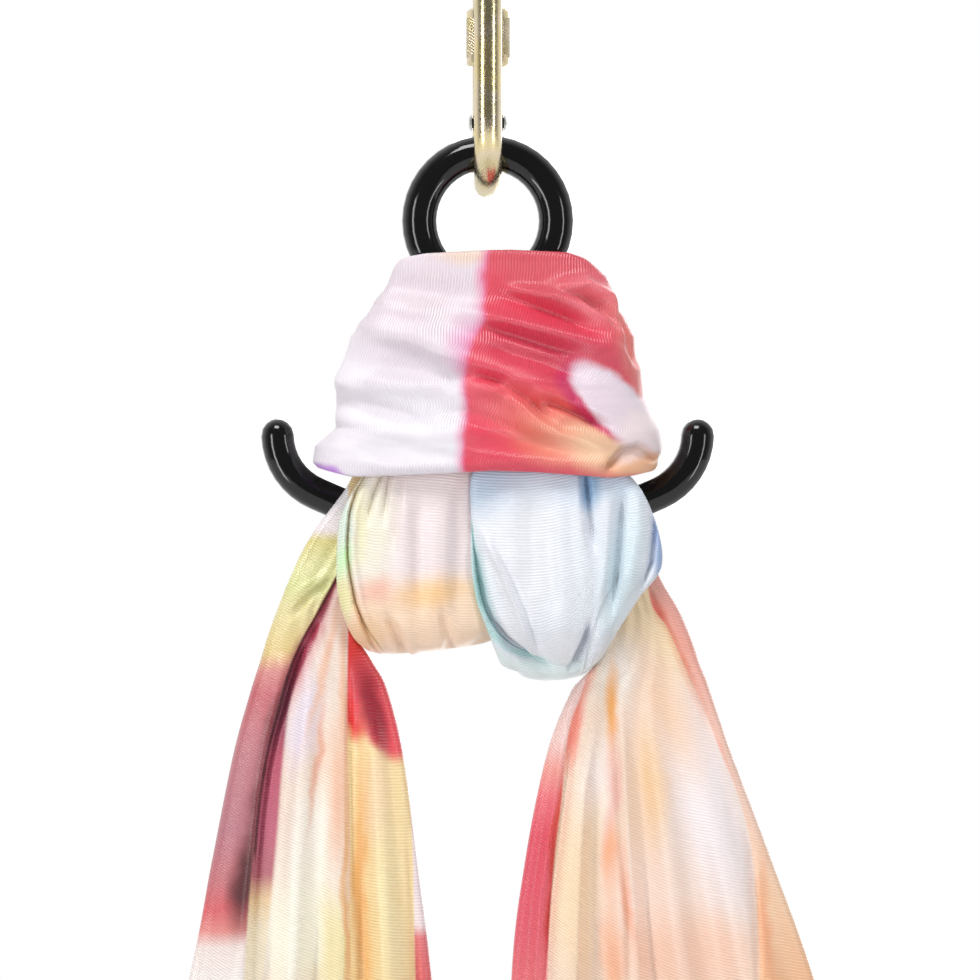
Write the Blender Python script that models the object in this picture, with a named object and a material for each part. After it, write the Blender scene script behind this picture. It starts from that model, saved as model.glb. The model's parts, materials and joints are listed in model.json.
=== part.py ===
"""Aerial silks: a screw-gate carabiner, a round-bar figure eight with two ears, and one silk hitched on it.

Metres, +Z up. The origin is the hang point, the inside of the carabiner's upper bend. The figure eight
lies in the XZ plane and is seen from the front along +Y. The carabiner lies in the YZ plane, with its
spine in front and its gate behind. The silk is one cloth, modelled in stretches: it crosses the front of
the neck, goes round both sides to the back, forwards through the large ring, down and round the bottom
bar, forwards through the large ring again, and down as two tails.
"""

import math

import bmesh
import bpy
from mathutils import Vector

MM = 0.001
GAP = 0.3 * MM  # between pieces that touch

# Carabiner
KRAB_LENGTH = 110 * MM
KRAB_WIDTH = 60 * MM
KRAB_BAR = 10.2 * MM
GATE_D = 11.4 * MM
NOSE_DROP = 2.7 * MM  # from the upper bend's centre down to the gate's upper end
NOSE_GAP = 0.5 * MM  # between the gate's upper end and the nose
HINGE_DROP = 0.7 * MM  # from the lower bend's centre down to the rivet
TONGUE_T = 4.5 * MM
TONGUE_R = 4.7 * MM  # its round head, about the rivet
RIVET_D = 4.0 * MM
RIVET_HEAD_D = 6.2 * MM
RIVET_HEAD_H = 1.1 * MM
GATE_BORE = 5.8 * MM
PLUNGER_CLEAR = 0.4 * MM  # round the plunger, in the bore
PLUNGER_L = 8.0 * MM
SPRING_CLEAR = 0.5 * MM  # round the spring, in the bore
SPRING_WIRE = 0.8 * MM
SPRING_TURNS = 6
SPRING_L = 13.0 * MM
LATCH_BLADE_T = 3.0 * MM
LATCH_BLADE_W = 6.0 * MM
LATCH_BLADE_H = 7.0 * MM
LATCH_PIN_D = 2.6 * MM
LATCH_PIN_L = 8.0 * MM
SLEEVE_D = 16.3 * MM
SLEEVE_CLEAR = 0.4 * MM  # round the gate, in the sleeve
SLEEVE_L = 21.5 * MM
SLEEVE_DROP = 5.5 * MM  # from the gate's upper end down to the unlocked sleeve
SLEEVE_FLUTES = 22
SLEEVE_FLUTE = 0.45 * MM

# Figure eight
BAR = 13.0 * MM
SMALL_D = 63.6 * MM  # small ring, outside
NECK_GAP = 13.0 * MM  # between the outsides of the two rings
NECK_W = 22.0 * MM
NECK_T = 10.0 * MM
BIG_W = 94.0 * MM  # large ring, outside
BIG_H = 104.7 * MM
BIG_POWER = 2.4  # how square the large ring's upper half is, 2 being an ellipse
BIG_POWER_LOW = 2.9
EAR_D = 12.4 * MM
EAR_DROP = 13.5 * MM  # below the large ring's centre
EAR_RISE = math.radians(23.4)
EAR_RUN = 24.8 * MM
EAR_BEND_R = 24.0 * MM
EAR_TURN = math.radians(65)

# Silk
TAIL_LENGTH = 2040 * MM  # from the ears' roots to the hems
TAIL_TURN_R = 12.5 * MM  # the round end that a tail swings on
TAIL_TURN_IN = 4.0 * MM  # its centre, in from the large ring's outer side
TAIL_TURN_DROP = 8.0 * MM  # its centre, below the large ring's centre
TAIL_FRONT = 9.0 * MM  # how far a tail's top stands out in front of the bar
TAIL_FOLDS = 4
BAND_OVER = 21.2 * MM  # how far the front band covers the small ring
BAND_LOW = 1.9 * MM  # the band's lower edge in front, above the large ring's centre

# Derived places
KR = KRAB_BAR / 2
KRAB_HALF = (KRAB_WIDTH - KRAB_BAR) / 2  # from the middle to a side bar's centre
KRAB_HIGH = KR - KRAB_HALF  # centre of the upper bend
KRAB_LOW = KR - (KRAB_LENGTH - KRAB_BAR) + KRAB_HALF  # centre of the lower bend
GATE_TOP = KRAB_HIGH - NOSE_DROP
HINGE_Z = KRAB_LOW - HINGE_DROP
PLUNGER_LOW = HINGE_Z + TONGUE_R + GAP
SLEEVE_TOP = GATE_TOP - SLEEVE_DROP
SLEEVE_BORE = GATE_D + 2 * SLEEVE_CLEAR
BR = BAR / 2
SMALL_Z = KRAB_LOW - KRAB_HALF + KR + GAP + BR - (SMALL_D / 2 - BR)
BIG_Z = SMALL_Z - SMALL_D / 2 - NECK_GAP - BIG_H / 2
BIG_LOW = BIG_Z - BIG_H / 2
BIG_SIDE = BIG_W / 2
FACE = BR + GAP  # how far the cloth lies in front of and behind the bar's centre
TURN_X = BIG_SIDE - TAIL_TURN_IN
TURN_Z = BIG_Z - TAIL_TURN_DROP
HEM_Z = BIG_Z - TAIL_LENGTH
BAND_TOP_Z = SMALL_Z - SMALL_D / 2 + BAND_OVER
BAND_LOW_Z = BIG_Z + BAND_LOW

COLOURS = {
    "zinc": ((0.66, 0.52, 0.27), 0.28, 1.0),
    "steel": ((0.55, 0.55, 0.56), 0.30, 1.0),
    "black": ((0.008, 0.008, 0.009), 0.12, 0.0),
    "cloth": ((0.86, 0.62, 0.52), 0.55, 0.0),
}


def material(name):
    """The Principled material of that finish."""
    found = bpy.data.materials.get(name)
    if found:
        return found
    colour, rough, metal = COLOURS[name]
    made = bpy.data.materials.new(name)
    made.use_nodes = True
    shader = made.node_tree.nodes["Principled BSDF"]
    shader.inputs["Base Color"].default_value = (*colour, 1)
    shader.inputs["Roughness"].default_value = rough
    shader.inputs["Metallic"].default_value = metal
    return made


def piece(name, bm, finish):
    """A named object from a bmesh, with its faces out and smooth shading."""
    bmesh.ops.recalc_face_normals(bm, faces=bm.faces)
    mesh = bpy.data.meshes.new(name)
    bm.to_mesh(mesh)
    bm.free()
    mesh.shade_smooth()
    mesh.set_sharp_from_angle(angle=math.radians(40))
    mesh.materials.append(material(finish))
    made = bpy.data.objects.new(name, mesh)
    bpy.context.collection.objects.link(made)
    return made


def guide(made):
    """Marks an object as a cutter or an operand, which isn't part of the model."""
    made.hide_render = True
    made.display_type = "WIRE"
    return made


def combine(made, other, operation):
    """Adds a live Boolean of made with other."""
    step = made.modifiers.new(operation.title(), "BOOLEAN")
    step.operation = operation
    step.solver = "EXACT"
    step.object = guide(other)
    return made


def skin(loops, closed=False):
    """A closed bmesh through loops of equally many points, each with its two sides facing each other."""
    bm = bmesh.new()
    rows = [[bm.verts.new(p) for p in loop] for loop in loops]
    n = len(rows[0])
    pairs = list(zip(rows, rows[1:]))
    if closed:
        pairs.append((rows[-1], rows[0]))
    for a, b in pairs:
        for k in range(n):
            m = (k + 1) % n
            bm.faces.new((a[k], a[m], b[m], b[k]))
    for row in [] if closed else (rows[0], rows[-1]):
        bm.faces.new((row[0], row[1], row[n - 1]))
        bm.faces.new((row[n // 2 - 1], row[n // 2], row[n // 2 + 1]))
        for k in range(1, n // 2 - 1):
            bm.faces.new((row[k], row[k + 1], row[n - k - 1], row[n - k]))
    return bm


def circle(centre, u, v, radius, sides):
    """Points round a centre in the plane of u and v."""
    turns = [2 * math.pi * k / sides for k in range(sides)]
    return [centre + (u * math.cos(t) + v * math.sin(t)) * radius for t in turns]


def flat_bar(points, radii, normal, sides, closed=False):
    """Loops of a round bar whose centreline lies in the plane with that normal."""
    loops = []
    last = len(points) - 1
    for i, p in enumerate(points):
        ahead = points[(i + 1) % len(points)] if closed or i < last else p
        behind = points[i - 1] if closed or i > 0 else p
        across = normal.cross((ahead - behind).normalized())
        loops.append(circle(p, normal, across, radii[i], sides))
    return skin(loops, closed)


def flow(keys, steps):
    """Rows of numbers on a smooth curve through the rows of keys, with steps rows to each stretch."""
    rows = []
    for i in range(len(keys) - 1):
        before = keys[max(i - 1, 0)]
        a, b = keys[i], keys[i + 1]
        after = keys[min(i + 2, len(keys) - 1)]
        for j in range(steps):
            t = j / steps
            rows.append(
                tuple(
                    q
                    + 0.5 * t * (r - p + t * (2 * p - 5 * q + 4 * r - s + t * (3 * (q - r) + s - p)))
                    for p, q, r, s in zip(before, a, b, after)
                )
            )
    rows.append(tuple(keys[-1]))
    return rows


def between(keys, at):
    """The values of keys, rows of a place and its values, at one place by straight lines between them."""
    for a, b in zip(keys, keys[1:]):
        if at <= b[0]:
            t = max(0.0, (at - a[0]) / (b[0] - a[0]))
            return [p + (q - p) * t for p, q in zip(a[1:], b[1:])]
    return list(keys[-1][1:])


def ease(t):
    """0 below 0 and 1 above 1, with a smooth step between."""
    t = min(max(t, 0.0), 1.0)
    return t * t * (3 - 2 * t)


def loop_of(across, place):
    """One closed loop: place(q, side) down one side and back up the other, q running from 1 to -1."""
    middle = across[1:-1]
    there = [place(q, 1) for q in middle]
    back = [place(q, -1) for q in reversed(middle)]
    return [place(1.0, 0), *there, place(-1.0, 0), *back]


def rounded(count):
    """Places across a width, closer together towards its rounded edges."""
    turns = [math.cos(math.pi * k / (count - 1)) for k in range(count)]
    return [math.copysign(math.sqrt(abs(c)), c) if abs(c) > 1e-9 else 0.0 for c in turns]


def edge(q, power=4):
    """How thick a bundle is at q across its width, from 1 in the middle to 0 at its edges."""
    return max(0.0, 1 - abs(q) ** power) ** (1 / power)


def upright(radius, low, high, x=0.0, y=0.0, sides=28):
    """A bmesh of a vertical cylinder."""
    across, deep = Vector((1, 0, 0)), Vector((0, 1, 0))
    return skin([circle(Vector((x, y, z)), across, deep, radius, sides) for z in (low, high)])


def cross_pin(radius, half, y, z, sides=16):
    """A bmesh of a cylinder along X, centred on x = 0."""
    deep, up = Vector((0, 1, 0)), Vector((0, 0, 1))
    return skin([circle(Vector((x, y, z)), deep, up, radius, sides) for x in (-half, half)])


def block(low, high):
    """A bmesh of a box between two corners."""
    bm = bmesh.new()
    bmesh.ops.create_cube(bm, size=1)
    low, high = Vector(low), Vector(high)
    for v in bm.verts:
        v.co = low + Vector(((v.co[i] + 0.5) * (high - low)[i] for i in range(3)))
    return bm


def arc(cy, cz, radius, start, stop, steps):
    """Points of an arc in the YZ plane, its angles in degrees from +Y towards +Z."""
    turns = [math.radians(start + (stop - start) * k / steps) for k in range(steps + 1)]
    return [Vector((0, cy + radius * math.cos(t), cz + radius * math.sin(t))) for t in turns]


def make_body():
    """The bent bar, with the nose's latch slot at its upper end and the hinge tongue at its lower end."""
    bend_end = -math.degrees(math.acos((KRAB_HALF - 0.35 * MM) / KRAB_HALF))
    nose = Vector((0, KRAB_HALF, GATE_TOP + NOSE_GAP))
    line = [nose, *arc(0, KRAB_HIGH, KRAB_HALF, 0, 180, 20), *arc(0, KRAB_LOW, KRAB_HALF, 180, 360 + bend_end, 20)]
    radii = [KR] * len(line)
    body = piece("carabiner_body", flat_bar(line, radii, Vector((1, 0, 0)), 16), "zinc")

    # The bar stops below the gate's round end, and the tongue goes on up into the gate's slot.
    clear = piece("hinge_clear", cross_pin(GATE_D / 2 + GAP, KRAB_BAR, KRAB_HALF, HINGE_Z, 24), "zinc")
    above = block((-KRAB_BAR, KRAB_HALF - GATE_D, HINGE_Z), (KRAB_BAR, KRAB_HALF + GATE_D, HINGE_Z + GATE_D))
    combine(body, clear, "DIFFERENCE")
    combine(body, piece("hinge_above", above, "zinc"), "DIFFERENCE")
    tongue = piece("tongue", cross_pin(TONGUE_R, TONGUE_T / 2, KRAB_HALF, HINGE_Z, 24), "zinc")
    stem_w = TONGUE_R - 0.2 * MM
    low = (-TONGUE_T / 2, KRAB_HALF - stem_w, HINGE_Z - GATE_D / 2 - 3 * MM)
    combine(tongue, piece("stem", block(low, (TONGUE_T / 2, KRAB_HALF + stem_w, HINGE_Z)), "zinc"), "UNION")
    combine(body, tongue, "UNION")
    bore = piece("tongue_bore", cross_pin(RIVET_D / 2 + GAP, KRAB_BAR, KRAB_HALF, HINGE_Z), "zinc")
    combine(body, bore, "DIFFERENCE")

    # The nose's slot and cross groove open downwards and inwards, so the latch can leave as the gate opens.
    pin_z = GATE_TOP + LATCH_BLADE_H - LATCH_PIN_D / 2 - 0.4 * MM
    room = 2 * GAP
    slot_low = (-LATCH_BLADE_T / 2 - GAP, KRAB_HALF - 2 * KRAB_BAR, GATE_TOP - KRAB_BAR)
    slot_high = (LATCH_BLADE_T / 2 + GAP, KRAB_HALF + LATCH_BLADE_W / 2 + GAP, GATE_TOP + LATCH_BLADE_H + room)
    combine(body, piece("nose_slot", block(slot_low, slot_high), "zinc"), "DIFFERENCE")
    half = LATCH_PIN_L / 2 + GAP
    groove_low = (-half, KRAB_HALF - 2 * KRAB_BAR, pin_z - LATCH_PIN_D / 2 - room)
    groove_high = (half, KRAB_HALF + LATCH_PIN_D / 2 + GAP, pin_z + LATCH_PIN_D / 2 + GAP)
    combine(body, piece("nose_groove", block(groove_low, groove_high), "zinc"), "DIFFERENCE")


def make_gate():
    """The gate's tube, rounded about the hinge, slotted for the tongue, bored for the spring, with its latch."""
    radius = GATE_D / 2
    sides = 28
    loops = []
    for share in (0.0, 0.5, 1.0):
        loop = []
        for p in circle(Vector((0, 0, 0)), Vector((0, 1, 0)), Vector((1, 0, 0)), radius, sides):
            low = HINGE_Z - math.sqrt(max(0.0, radius**2 - p.y**2))
            z = low + (HINGE_Z + radius - low) * share
            loop.append(Vector((p.x, p.y + KRAB_HALF, z)))
        loops.append(loop)
    chamfer = 0.8 * MM
    for z, r in ((GATE_TOP - chamfer, radius), (GATE_TOP, radius - chamfer)):
        loops.append(circle(Vector((0, KRAB_HALF, z)), Vector((0, 1, 0)), Vector((1, 0, 0)), r, sides))
    gate = piece("carabiner_gate", skin(loops), "zinc")

    slot = TONGUE_T / 2 + GAP
    top = PLUNGER_LOW + GAP
    combine(gate, piece("gate_slot", block((-slot, 0, HINGE_Z - GATE_D), (slot, KRAB_WIDTH, top)), "zinc"), "DIFFERENCE")
    bore = upright(GATE_BORE / 2, HINGE_Z, top + PLUNGER_L + SPRING_L + 3 * GAP, 0, KRAB_HALF, 20)
    combine(gate, piece("gate_bore", bore, "zinc"), "DIFFERENCE")
    hole = cross_pin(RIVET_D / 2 + GAP, KRAB_BAR, KRAB_HALF, HINGE_Z)
    combine(gate, piece("gate_rivet_hole", hole, "zinc"), "DIFFERENCE")
    low = (-LATCH_BLADE_T / 2, KRAB_HALF - LATCH_BLADE_W / 2, GATE_TOP - 2 * MM)
    high = (LATCH_BLADE_T / 2, KRAB_HALF + LATCH_BLADE_W / 2, GATE_TOP + LATCH_BLADE_H)
    combine(gate, piece("latch_blade", block(low, high), "zinc"), "UNION")
    pin_z = GATE_TOP + LATCH_BLADE_H - LATCH_PIN_D / 2 - 0.4 * MM
    eye = cross_pin(LATCH_PIN_D / 2 + GAP, KRAB_BAR, KRAB_HALF, pin_z)
    combine(gate, piece("latch_eye", eye, "zinc"), "DIFFERENCE")
    piece("gate_latch_pin", cross_pin(LATCH_PIN_D / 2, LATCH_PIN_L / 2, KRAB_HALF, pin_z), "steel")


def make_rivet():
    """The hinge rivet, with a domed head on each side of the gate."""
    out = GATE_D / 2 + GAP
    half = RIVET_D / 2
    head = RIVET_HEAD_D / 2
    stations = [
        (-out - RIVET_HEAD_H, 0.55 * head),
        (-out - 0.6 * RIVET_HEAD_H, 0.85 * head),
        (-out, head),
        (-out + 0.05 * MM, half),
        (out - 0.05 * MM, half),
        (out, head),
        (out + 0.6 * RIVET_HEAD_H, 0.85 * head),
        (out + RIVET_HEAD_H, 0.55 * head),
    ]
    deep, up = Vector((0, 1, 0)), Vector((0, 0, 1))
    loops = [circle(Vector((x, KRAB_HALF, HINGE_Z)), deep, up, r, 16) for x, r in stations]
    piece("gate_hinge_rivet", skin(loops), "steel")


def make_plunger_and_spring():
    """The rod that bears on the tongue, and the coil spring above it, both inside the gate."""
    low = PLUNGER_LOW
    radius = GATE_BORE / 2 - PLUNGER_CLEAR
    stations = [(low, 0.45 * radius), (low + 0.8 * MM, 0.85 * radius), (low + 2 * MM, radius), (low + PLUNGER_L, radius)]
    across, deep = Vector((1, 0, 0)), Vector((0, 1, 0))
    loops = [circle(Vector((0, KRAB_HALF, z)), across, deep, r, 16) for z, r in stations]
    piece("gate_plunger", skin(loops), "steel")

    wire = SPRING_WIRE / 2
    start = low + PLUNGER_L + GAP + wire
    rise = SPRING_L - SPRING_WIRE
    count = SPRING_TURNS * 10
    mean = GATE_BORE / 2 - SPRING_CLEAR - wire
    loops = []
    for i in range(count + 1):
        t = 2 * math.pi * SPRING_TURNS * i / count
        centre = Vector((mean * math.cos(t), KRAB_HALF + mean * math.sin(t), start + rise * i / count))
        out = Vector((math.cos(t), math.sin(t), 0))
        loops.append(circle(centre, out, Vector((0, 0, 1)), wire, 6))
    print("spring: least gap between turns, mm:", round((rise / SPRING_TURNS - SPRING_WIRE) / MM, 2))
    piece("gate_spring", skin(loops), "steel")


def make_sleeve():
    """The screw sleeve: a turned ring with chamfered plain ends and a fluted grip."""
    top, low = SLEEVE_TOP, SLEEVE_TOP - SLEEVE_L
    outer = SLEEVE_D / 2
    collar = 3.0 * MM
    groove = 0.6 * MM
    sides = 2 * SLEEVE_FLUTES
    profile = [
        (low, outer - 1.2 * MM, False),
        (low + 1.0 * MM, outer - 0.2 * MM, False),
        (low + collar, outer - 0.2 * MM, False),
        (low + collar + groove, outer - 0.2 * MM, True),
        (top - collar - groove, outer - 0.2 * MM, True),
        (top - collar, outer - 0.2 * MM, False),
        (top - 1.0 * MM, outer - 0.2 * MM, False),
        (top, outer - 1.2 * MM, False),
    ]
    loops = []
    for z, r, fluted in profile:
        loop = []
        for k in range(sides):
            t = 2 * math.pi * k / sides
            reach = r + (0.2 * MM if k % 2 else 0.2 * MM - SLEEVE_FLUTE) * fluted
            loop.append(Vector((reach * math.cos(t), KRAB_HALF + reach * math.sin(t), z)))
        loops.append(loop)
    for z in (top, low):
        inner = SLEEVE_BORE / 2
        turns = [2 * math.pi * k / sides for k in range(sides)]
        loops.append([Vector((inner * math.cos(t), KRAB_HALF + inner * math.sin(t), z)) for t in turns])
    piece("lock_sleeve", skin(loops, closed=True), "zinc")


def big_ring_line(steps):
    """Points of the large ring's centreline, squarer in its lower half."""
    line = []
    for k in range(steps):
        t = 2 * math.pi * k / steps
        power = 2 / (BIG_POWER if math.sin(t) > 0 else BIG_POWER_LOW)
        x = math.copysign(abs(math.cos(t)) ** power, math.cos(t)) * (BIG_SIDE - BR)
        z = math.copysign(abs(math.sin(t)) ** power, math.sin(t)) * (BIG_H / 2 - BR)
        line.append(Vector((x, 0, BIG_Z + z)))
    return line


def ear_line(side):
    """Points and radii of one ear, from inside the large ring's bar to its round tip."""
    line = []
    radii = []
    start = Vector((BIG_SIDE - BR, 0, BIG_Z - EAR_DROP))
    run = Vector((math.cos(EAR_RISE), 0, math.sin(EAR_RISE)))
    for share in (0.0, 0.5, 1.0):
        line.append(start + run * EAR_RUN * share)
        radii.append(EAR_D / 2)
    steps = 8
    for k in range(1, steps + 1):
        turn = EAR_RISE + EAR_TURN * k / steps
        out = math.sin(turn) - math.sin(EAR_RISE)
        up = math.cos(EAR_RISE) - math.cos(turn)
        line.append(start + run * EAR_RUN + Vector((out, 0, up)) * EAR_BEND_R)
        radii.append(EAR_D / 2)
    tip = line[-1]
    ahead = Vector((math.cos(EAR_RISE + EAR_TURN), 0, math.sin(EAR_RISE + EAR_TURN)))
    for angle in (25, 48, 68, 84):
        turn = math.radians(angle)
        line.append(tip + ahead * math.sin(turn) * EAR_D / 2)
        radii.append(math.cos(turn) * EAR_D / 2)
    return [Vector((p.x * side, 0, p.z)) for p in line], radii


def make_eight(name, extra=0.0):
    """The figure eight, or with extra the room that the cloth leaves round it."""
    normal = Vector((0, 1, 0))
    ring = [
        Vector((math.cos(t), 0, math.sin(t))) * (SMALL_D / 2 - BR) + Vector((0, 0, SMALL_Z))
        for t in (2 * math.pi * k / 40 for k in range(40))
    ]
    eight = piece(name, flat_bar(ring, [BR + extra] * 40, normal, 16, True), "black")
    big = flat_bar(big_ring_line(52), [BR + extra] * 52, normal, 16, True)
    combine(eight, piece(name + "_large", big, "black"), "UNION")
    half = Vector((NECK_W / 2 + extra, NECK_T / 2 + extra, 0))
    low = Vector((0, 0, BIG_Z + BIG_H / 2 - BR))
    high = Vector((0, 0, SMALL_Z - SMALL_D / 2 + BR))
    neck = block(low - half, high + half)
    bmesh.ops.bevel(neck, geom=neck.edges, offset=1.5 * MM, segments=2, profile=0.5, affect="EDGES", material=-1)
    combine(eight, piece(name + "_neck", neck, "black"), "UNION")
    for side, word in ((-1, "left"), (1, "right")):
        line, radii = ear_line(side)
        ear = flat_bar(line, [r + extra for r in radii], normal, 16)
        combine(eight, piece(f"{name}_ear_{word}", ear, "black"), "UNION")
    return eight


# The front band's rows: the height as a share of the way from its lower edge to its crown, then in
# millimetres how far its left and right outlines stand out from the large ring's side and how far its
# front and back stand out from the bar, and how square its corners are.
BAND_ROWS = [
    (-0.05, 12.5, 14.5, 26.2, 13.0, 4.0),
    (0.00, 17.0, 16.5, 26.0, 13.0, 4.0),
    (0.07, 17.8, 17.2, 24.6, 13.0, 3.8),
    (0.14, 15.0, 17.2, 23.0, 13.0, 3.5),
    (0.22, 9.4, 14.6, 21.0, 13.0, 3.2),
    (0.35, 9.4, 9.2, 18.2, 13.0, 3.0),
    (0.49, 5.8, 8.1, 15.4, 12.4, 2.8),
    (0.62, 1.0, 5.2, 12.4, 11.6, 2.8),
    (0.75, -7.6, 0.2, 9.4, 10.6, 3.0),
    (0.88, -10.5, -2.6, 7.2, 9.4, 3.6),
    (0.95, -12.2, -9.8, 5.6, 8.8, 4.2),
    (1.00, -15.5, -14.0, 5.2, 8.6, 5.0),
]
BAND_TURN = 156  # degrees from the front to each end behind the neck


def band_shape(turn, q, side):
    """A point of the front band: turn in degrees from the front, q from its upper to its lower edge."""
    away = abs(turn)
    top = BAND_TOP_Z - (8.0 * ease((away - 55) / 40) + 48.0 * ease((away - 95) / 60)) * MM
    low = BAND_LOW_Z + (3.0 * ease((away - 62) / 26) + 9.0 * ease((away - 110) / 45)) * MM
    z = low + (top - low) * (q + 1) / 2
    share = (z - BAND_LOW_Z) / (BAND_TOP_Z - BAND_LOW_Z)
    left, right, front, back, power = between(BAND_ROWS, share)
    wide = BIG_SIDE + (left if turn < 0 else right) * MM
    deep = FACE + (front if away < 90 else back) * MM
    power = power if away < 90 else 2.4
    thick = 5.0 + 4.0 * ease((away - 50) / 40) * (1 - ease(1.2 * share)) + 5.0 * ease((away - 110) / 45)
    ridges = 0.5 * math.cos(7 * q + 0.03 * turn) * (side > 0) * (1 - q**4)
    inset = (thick / 2 * (1 - side * edge(q)) - ridges) * MM
    t = math.radians(turn)
    across = math.copysign(abs(math.sin(t)) ** (2 / power), t)
    ahead = math.copysign(abs(math.cos(t)) ** (2 / power), math.cos(t))
    return Vector((across * (wide - inset), -ahead * (deep - inset), z))


def make_band(room):
    """The middle of the silk, as a wide band round the neck, with its two ends behind."""
    across = rounded(13)
    steps = 32
    turns = [-BAND_TURN + 2 * BAND_TURN * k / steps for k in range(steps + 1)]
    loops = [loop_of(across, lambda q, side, turn=turn: band_shape(turn, q, side)) for turn in turns]
    combine(piece("front_band", skin(loops), "cloth"), room, "DIFFERENCE")


def bundle(name, keys, steps, count, lift=None):
    """A gathered stretch of cloth through sections of centre, half width vector and half thickness vector."""
    loops = []
    for row in flow(keys, steps):
        centre, wide, thick = Vector(row[0:3]), Vector(row[3:6]), Vector(row[6:9])

        def place(q, side, centre=centre, wide=wide, thick=thick):
            return centre + wide * q + thick * side * edge(q)

        loops.append(loop_of(rounded(count), place))
    return piece(name, skin(loops), "cloth")


def make_throat(side, word, room):
    """One half of the silk from behind the neck, forwards through the large ring, to the lobe's top."""
    ends = [band_shape(side * BAND_TURN, q, face) for q, face in ((1, 0), (-1, 0), (0, 1), (0, -1))]
    top, low, outer, inner = [Vector((abs(p.x), p.y, p.z)) for p in ends]
    start = (outer + inner) / 2 + Vector((-3 * GAP, GAP, 0))
    wide, thick = (top - low) / 2, (outer - inner) / 2
    front = lobe_sections(RIGHT_LOBE)[0]
    rows = [
        # centre x, y, z, then the half width and the half thickness as vectors
        (*start, *wide, *thick),
        (start.x - 9 * MM, start.y - 1 * MM, start.z, 3 * MM, -2 * MM, 7.5 * MM, -2 * MM, 5 * MM, 3 * MM),
        (12 * MM, 4 * MM, BIG_Z + 25 * MM, 10 * MM, -1 * MM, 0, 0, 2 * MM, 8.5 * MM),
        (12.5 * MM, -FACE, BIG_Z + 24 * MM, 11.5 * MM, 0, 0, 0, -3 * MM, 7.5 * MM),
        (15.5 * MM, -FACE - 9 * MM, BIG_Z + 19.5 * MM, 14.5 * MM, 0, 0, 0, -5 * MM, 4 * MM),
        (19.6 * MM, front[0], front[1] + GAP, 18 * MM, 0, 0, 0, -front[4], 0),
    ]
    keys = [(side * r[0], *r[1:3], side * r[3], *r[4:6], side * r[6], *r[7:]) for r in rows]
    combine(bundle(f"{word}_throat", keys, 2, 9), room, "DIFFERENCE")


# Each lobe's sections, in millimetres: the height from the large ring's centre or from its lowest point,
# the distance in front of the bar's face (behind it where negative), the outer edge from the large ring's
# side, the inner edge from the middle, half the thickness, how far its edges draw in, and how much
# further its outer edge stands out than its inner one.
LEFT_LOBE = [
    ("mid", 11.6, 12.4, -9.4, 1.6, 4.4, 0.0, 0.0),
    ("mid", 2.0, 15.0, -0.4, 7.2, 4.6, 1.5, 0.0),
    ("mid", -13, 15.8, 7.2, 7.2, 5.0, 2.0, 0.0),
    ("mid", -33, 15.8, 8.6, 6.8, 5.0, 2.0, 0.0),
    ("low", 7.0, 15.4, 7.2, 5.0, 5.0, 1.5, 0.0),
    ("low", -2.0, 12.6, 3.4, 3.5, 5.2, 1.0, 0.5),
    ("low", -6.4, 4.0, -2.2, 2.0, 5.4, 0.5, 1.6),
    ("low", -6.4, -6.8, -5.0, 2.0, 5.2, 0.5, 1.6),
    ("low", -2.0, -17.0, -6.0, 2.0, 5.0, 1.5, 0.5),
    ("low", 11.0, -20.6, -8.0, 2.0, 5.0, 2.0, 0.0),
    ("mid", -24.0, -19.6, -11.0, 2.0, 5.0, 0.0, 0.0),
]
RIGHT_LOBE = [
    ("mid", 11.6, 12.4, -9.4, 1.6, 4.4, 0.0, 0.0),
    ("mid", 2.0, 15.0, 6.0, -6.6, 4.6, 1.5, 0.0),
    ("mid", -13, 16.0, 14.2, -6.7, 5.0, 2.0, 0.0),
    ("mid", -30, 16.4, 16.8, -6.3, 5.0, 2.0, 0.0),
    ("low", 10.0, 15.8, 8.4, -4.6, 5.2, 2.5, 0.0),
    ("low", -1.0, 14.0, 0.2, -2.0, 5.2, 3.0, 0.0),
    ("low", -11.0, 6.0, -4.4, 5.0, 5.2, 3.0, -1.5),
    ("low", -15.4, -6.8, -5.5, 10.0, 5.0, 2.5, -1.5),
    ("low", -11.0, -17.0, -6.0, 8.0, 5.0, 2.0, 0.0),
    ("low", 2.0, -20.6, -7.0, 2.0, 5.0, 2.0, 0.0),
    ("low", 14.0, -20.6, -9.0, 2.0, 5.0, 1.5, 0.0),
    ("mid", -24.0, -19.6, -11.0, 2.0, 5.0, 0.0, 0.0),
]
LOBE_RIDGE = 0.7 * MM


def lobe_sections(rows):
    """The sections in metres: y, z, the outer and inner edges from the middle, and the other sizes."""
    anchors = {"mid": BIG_Z, "low": BIG_LOW}
    found = []
    for anchor, height, front, outer, inner, *sizes in rows:
        place = (-FACE - front * MM, anchors[anchor] + height * MM, BIG_SIDE + outer * MM, inner * MM)
        found.append((*place, *(size * MM for size in sizes)))
    return found


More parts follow.
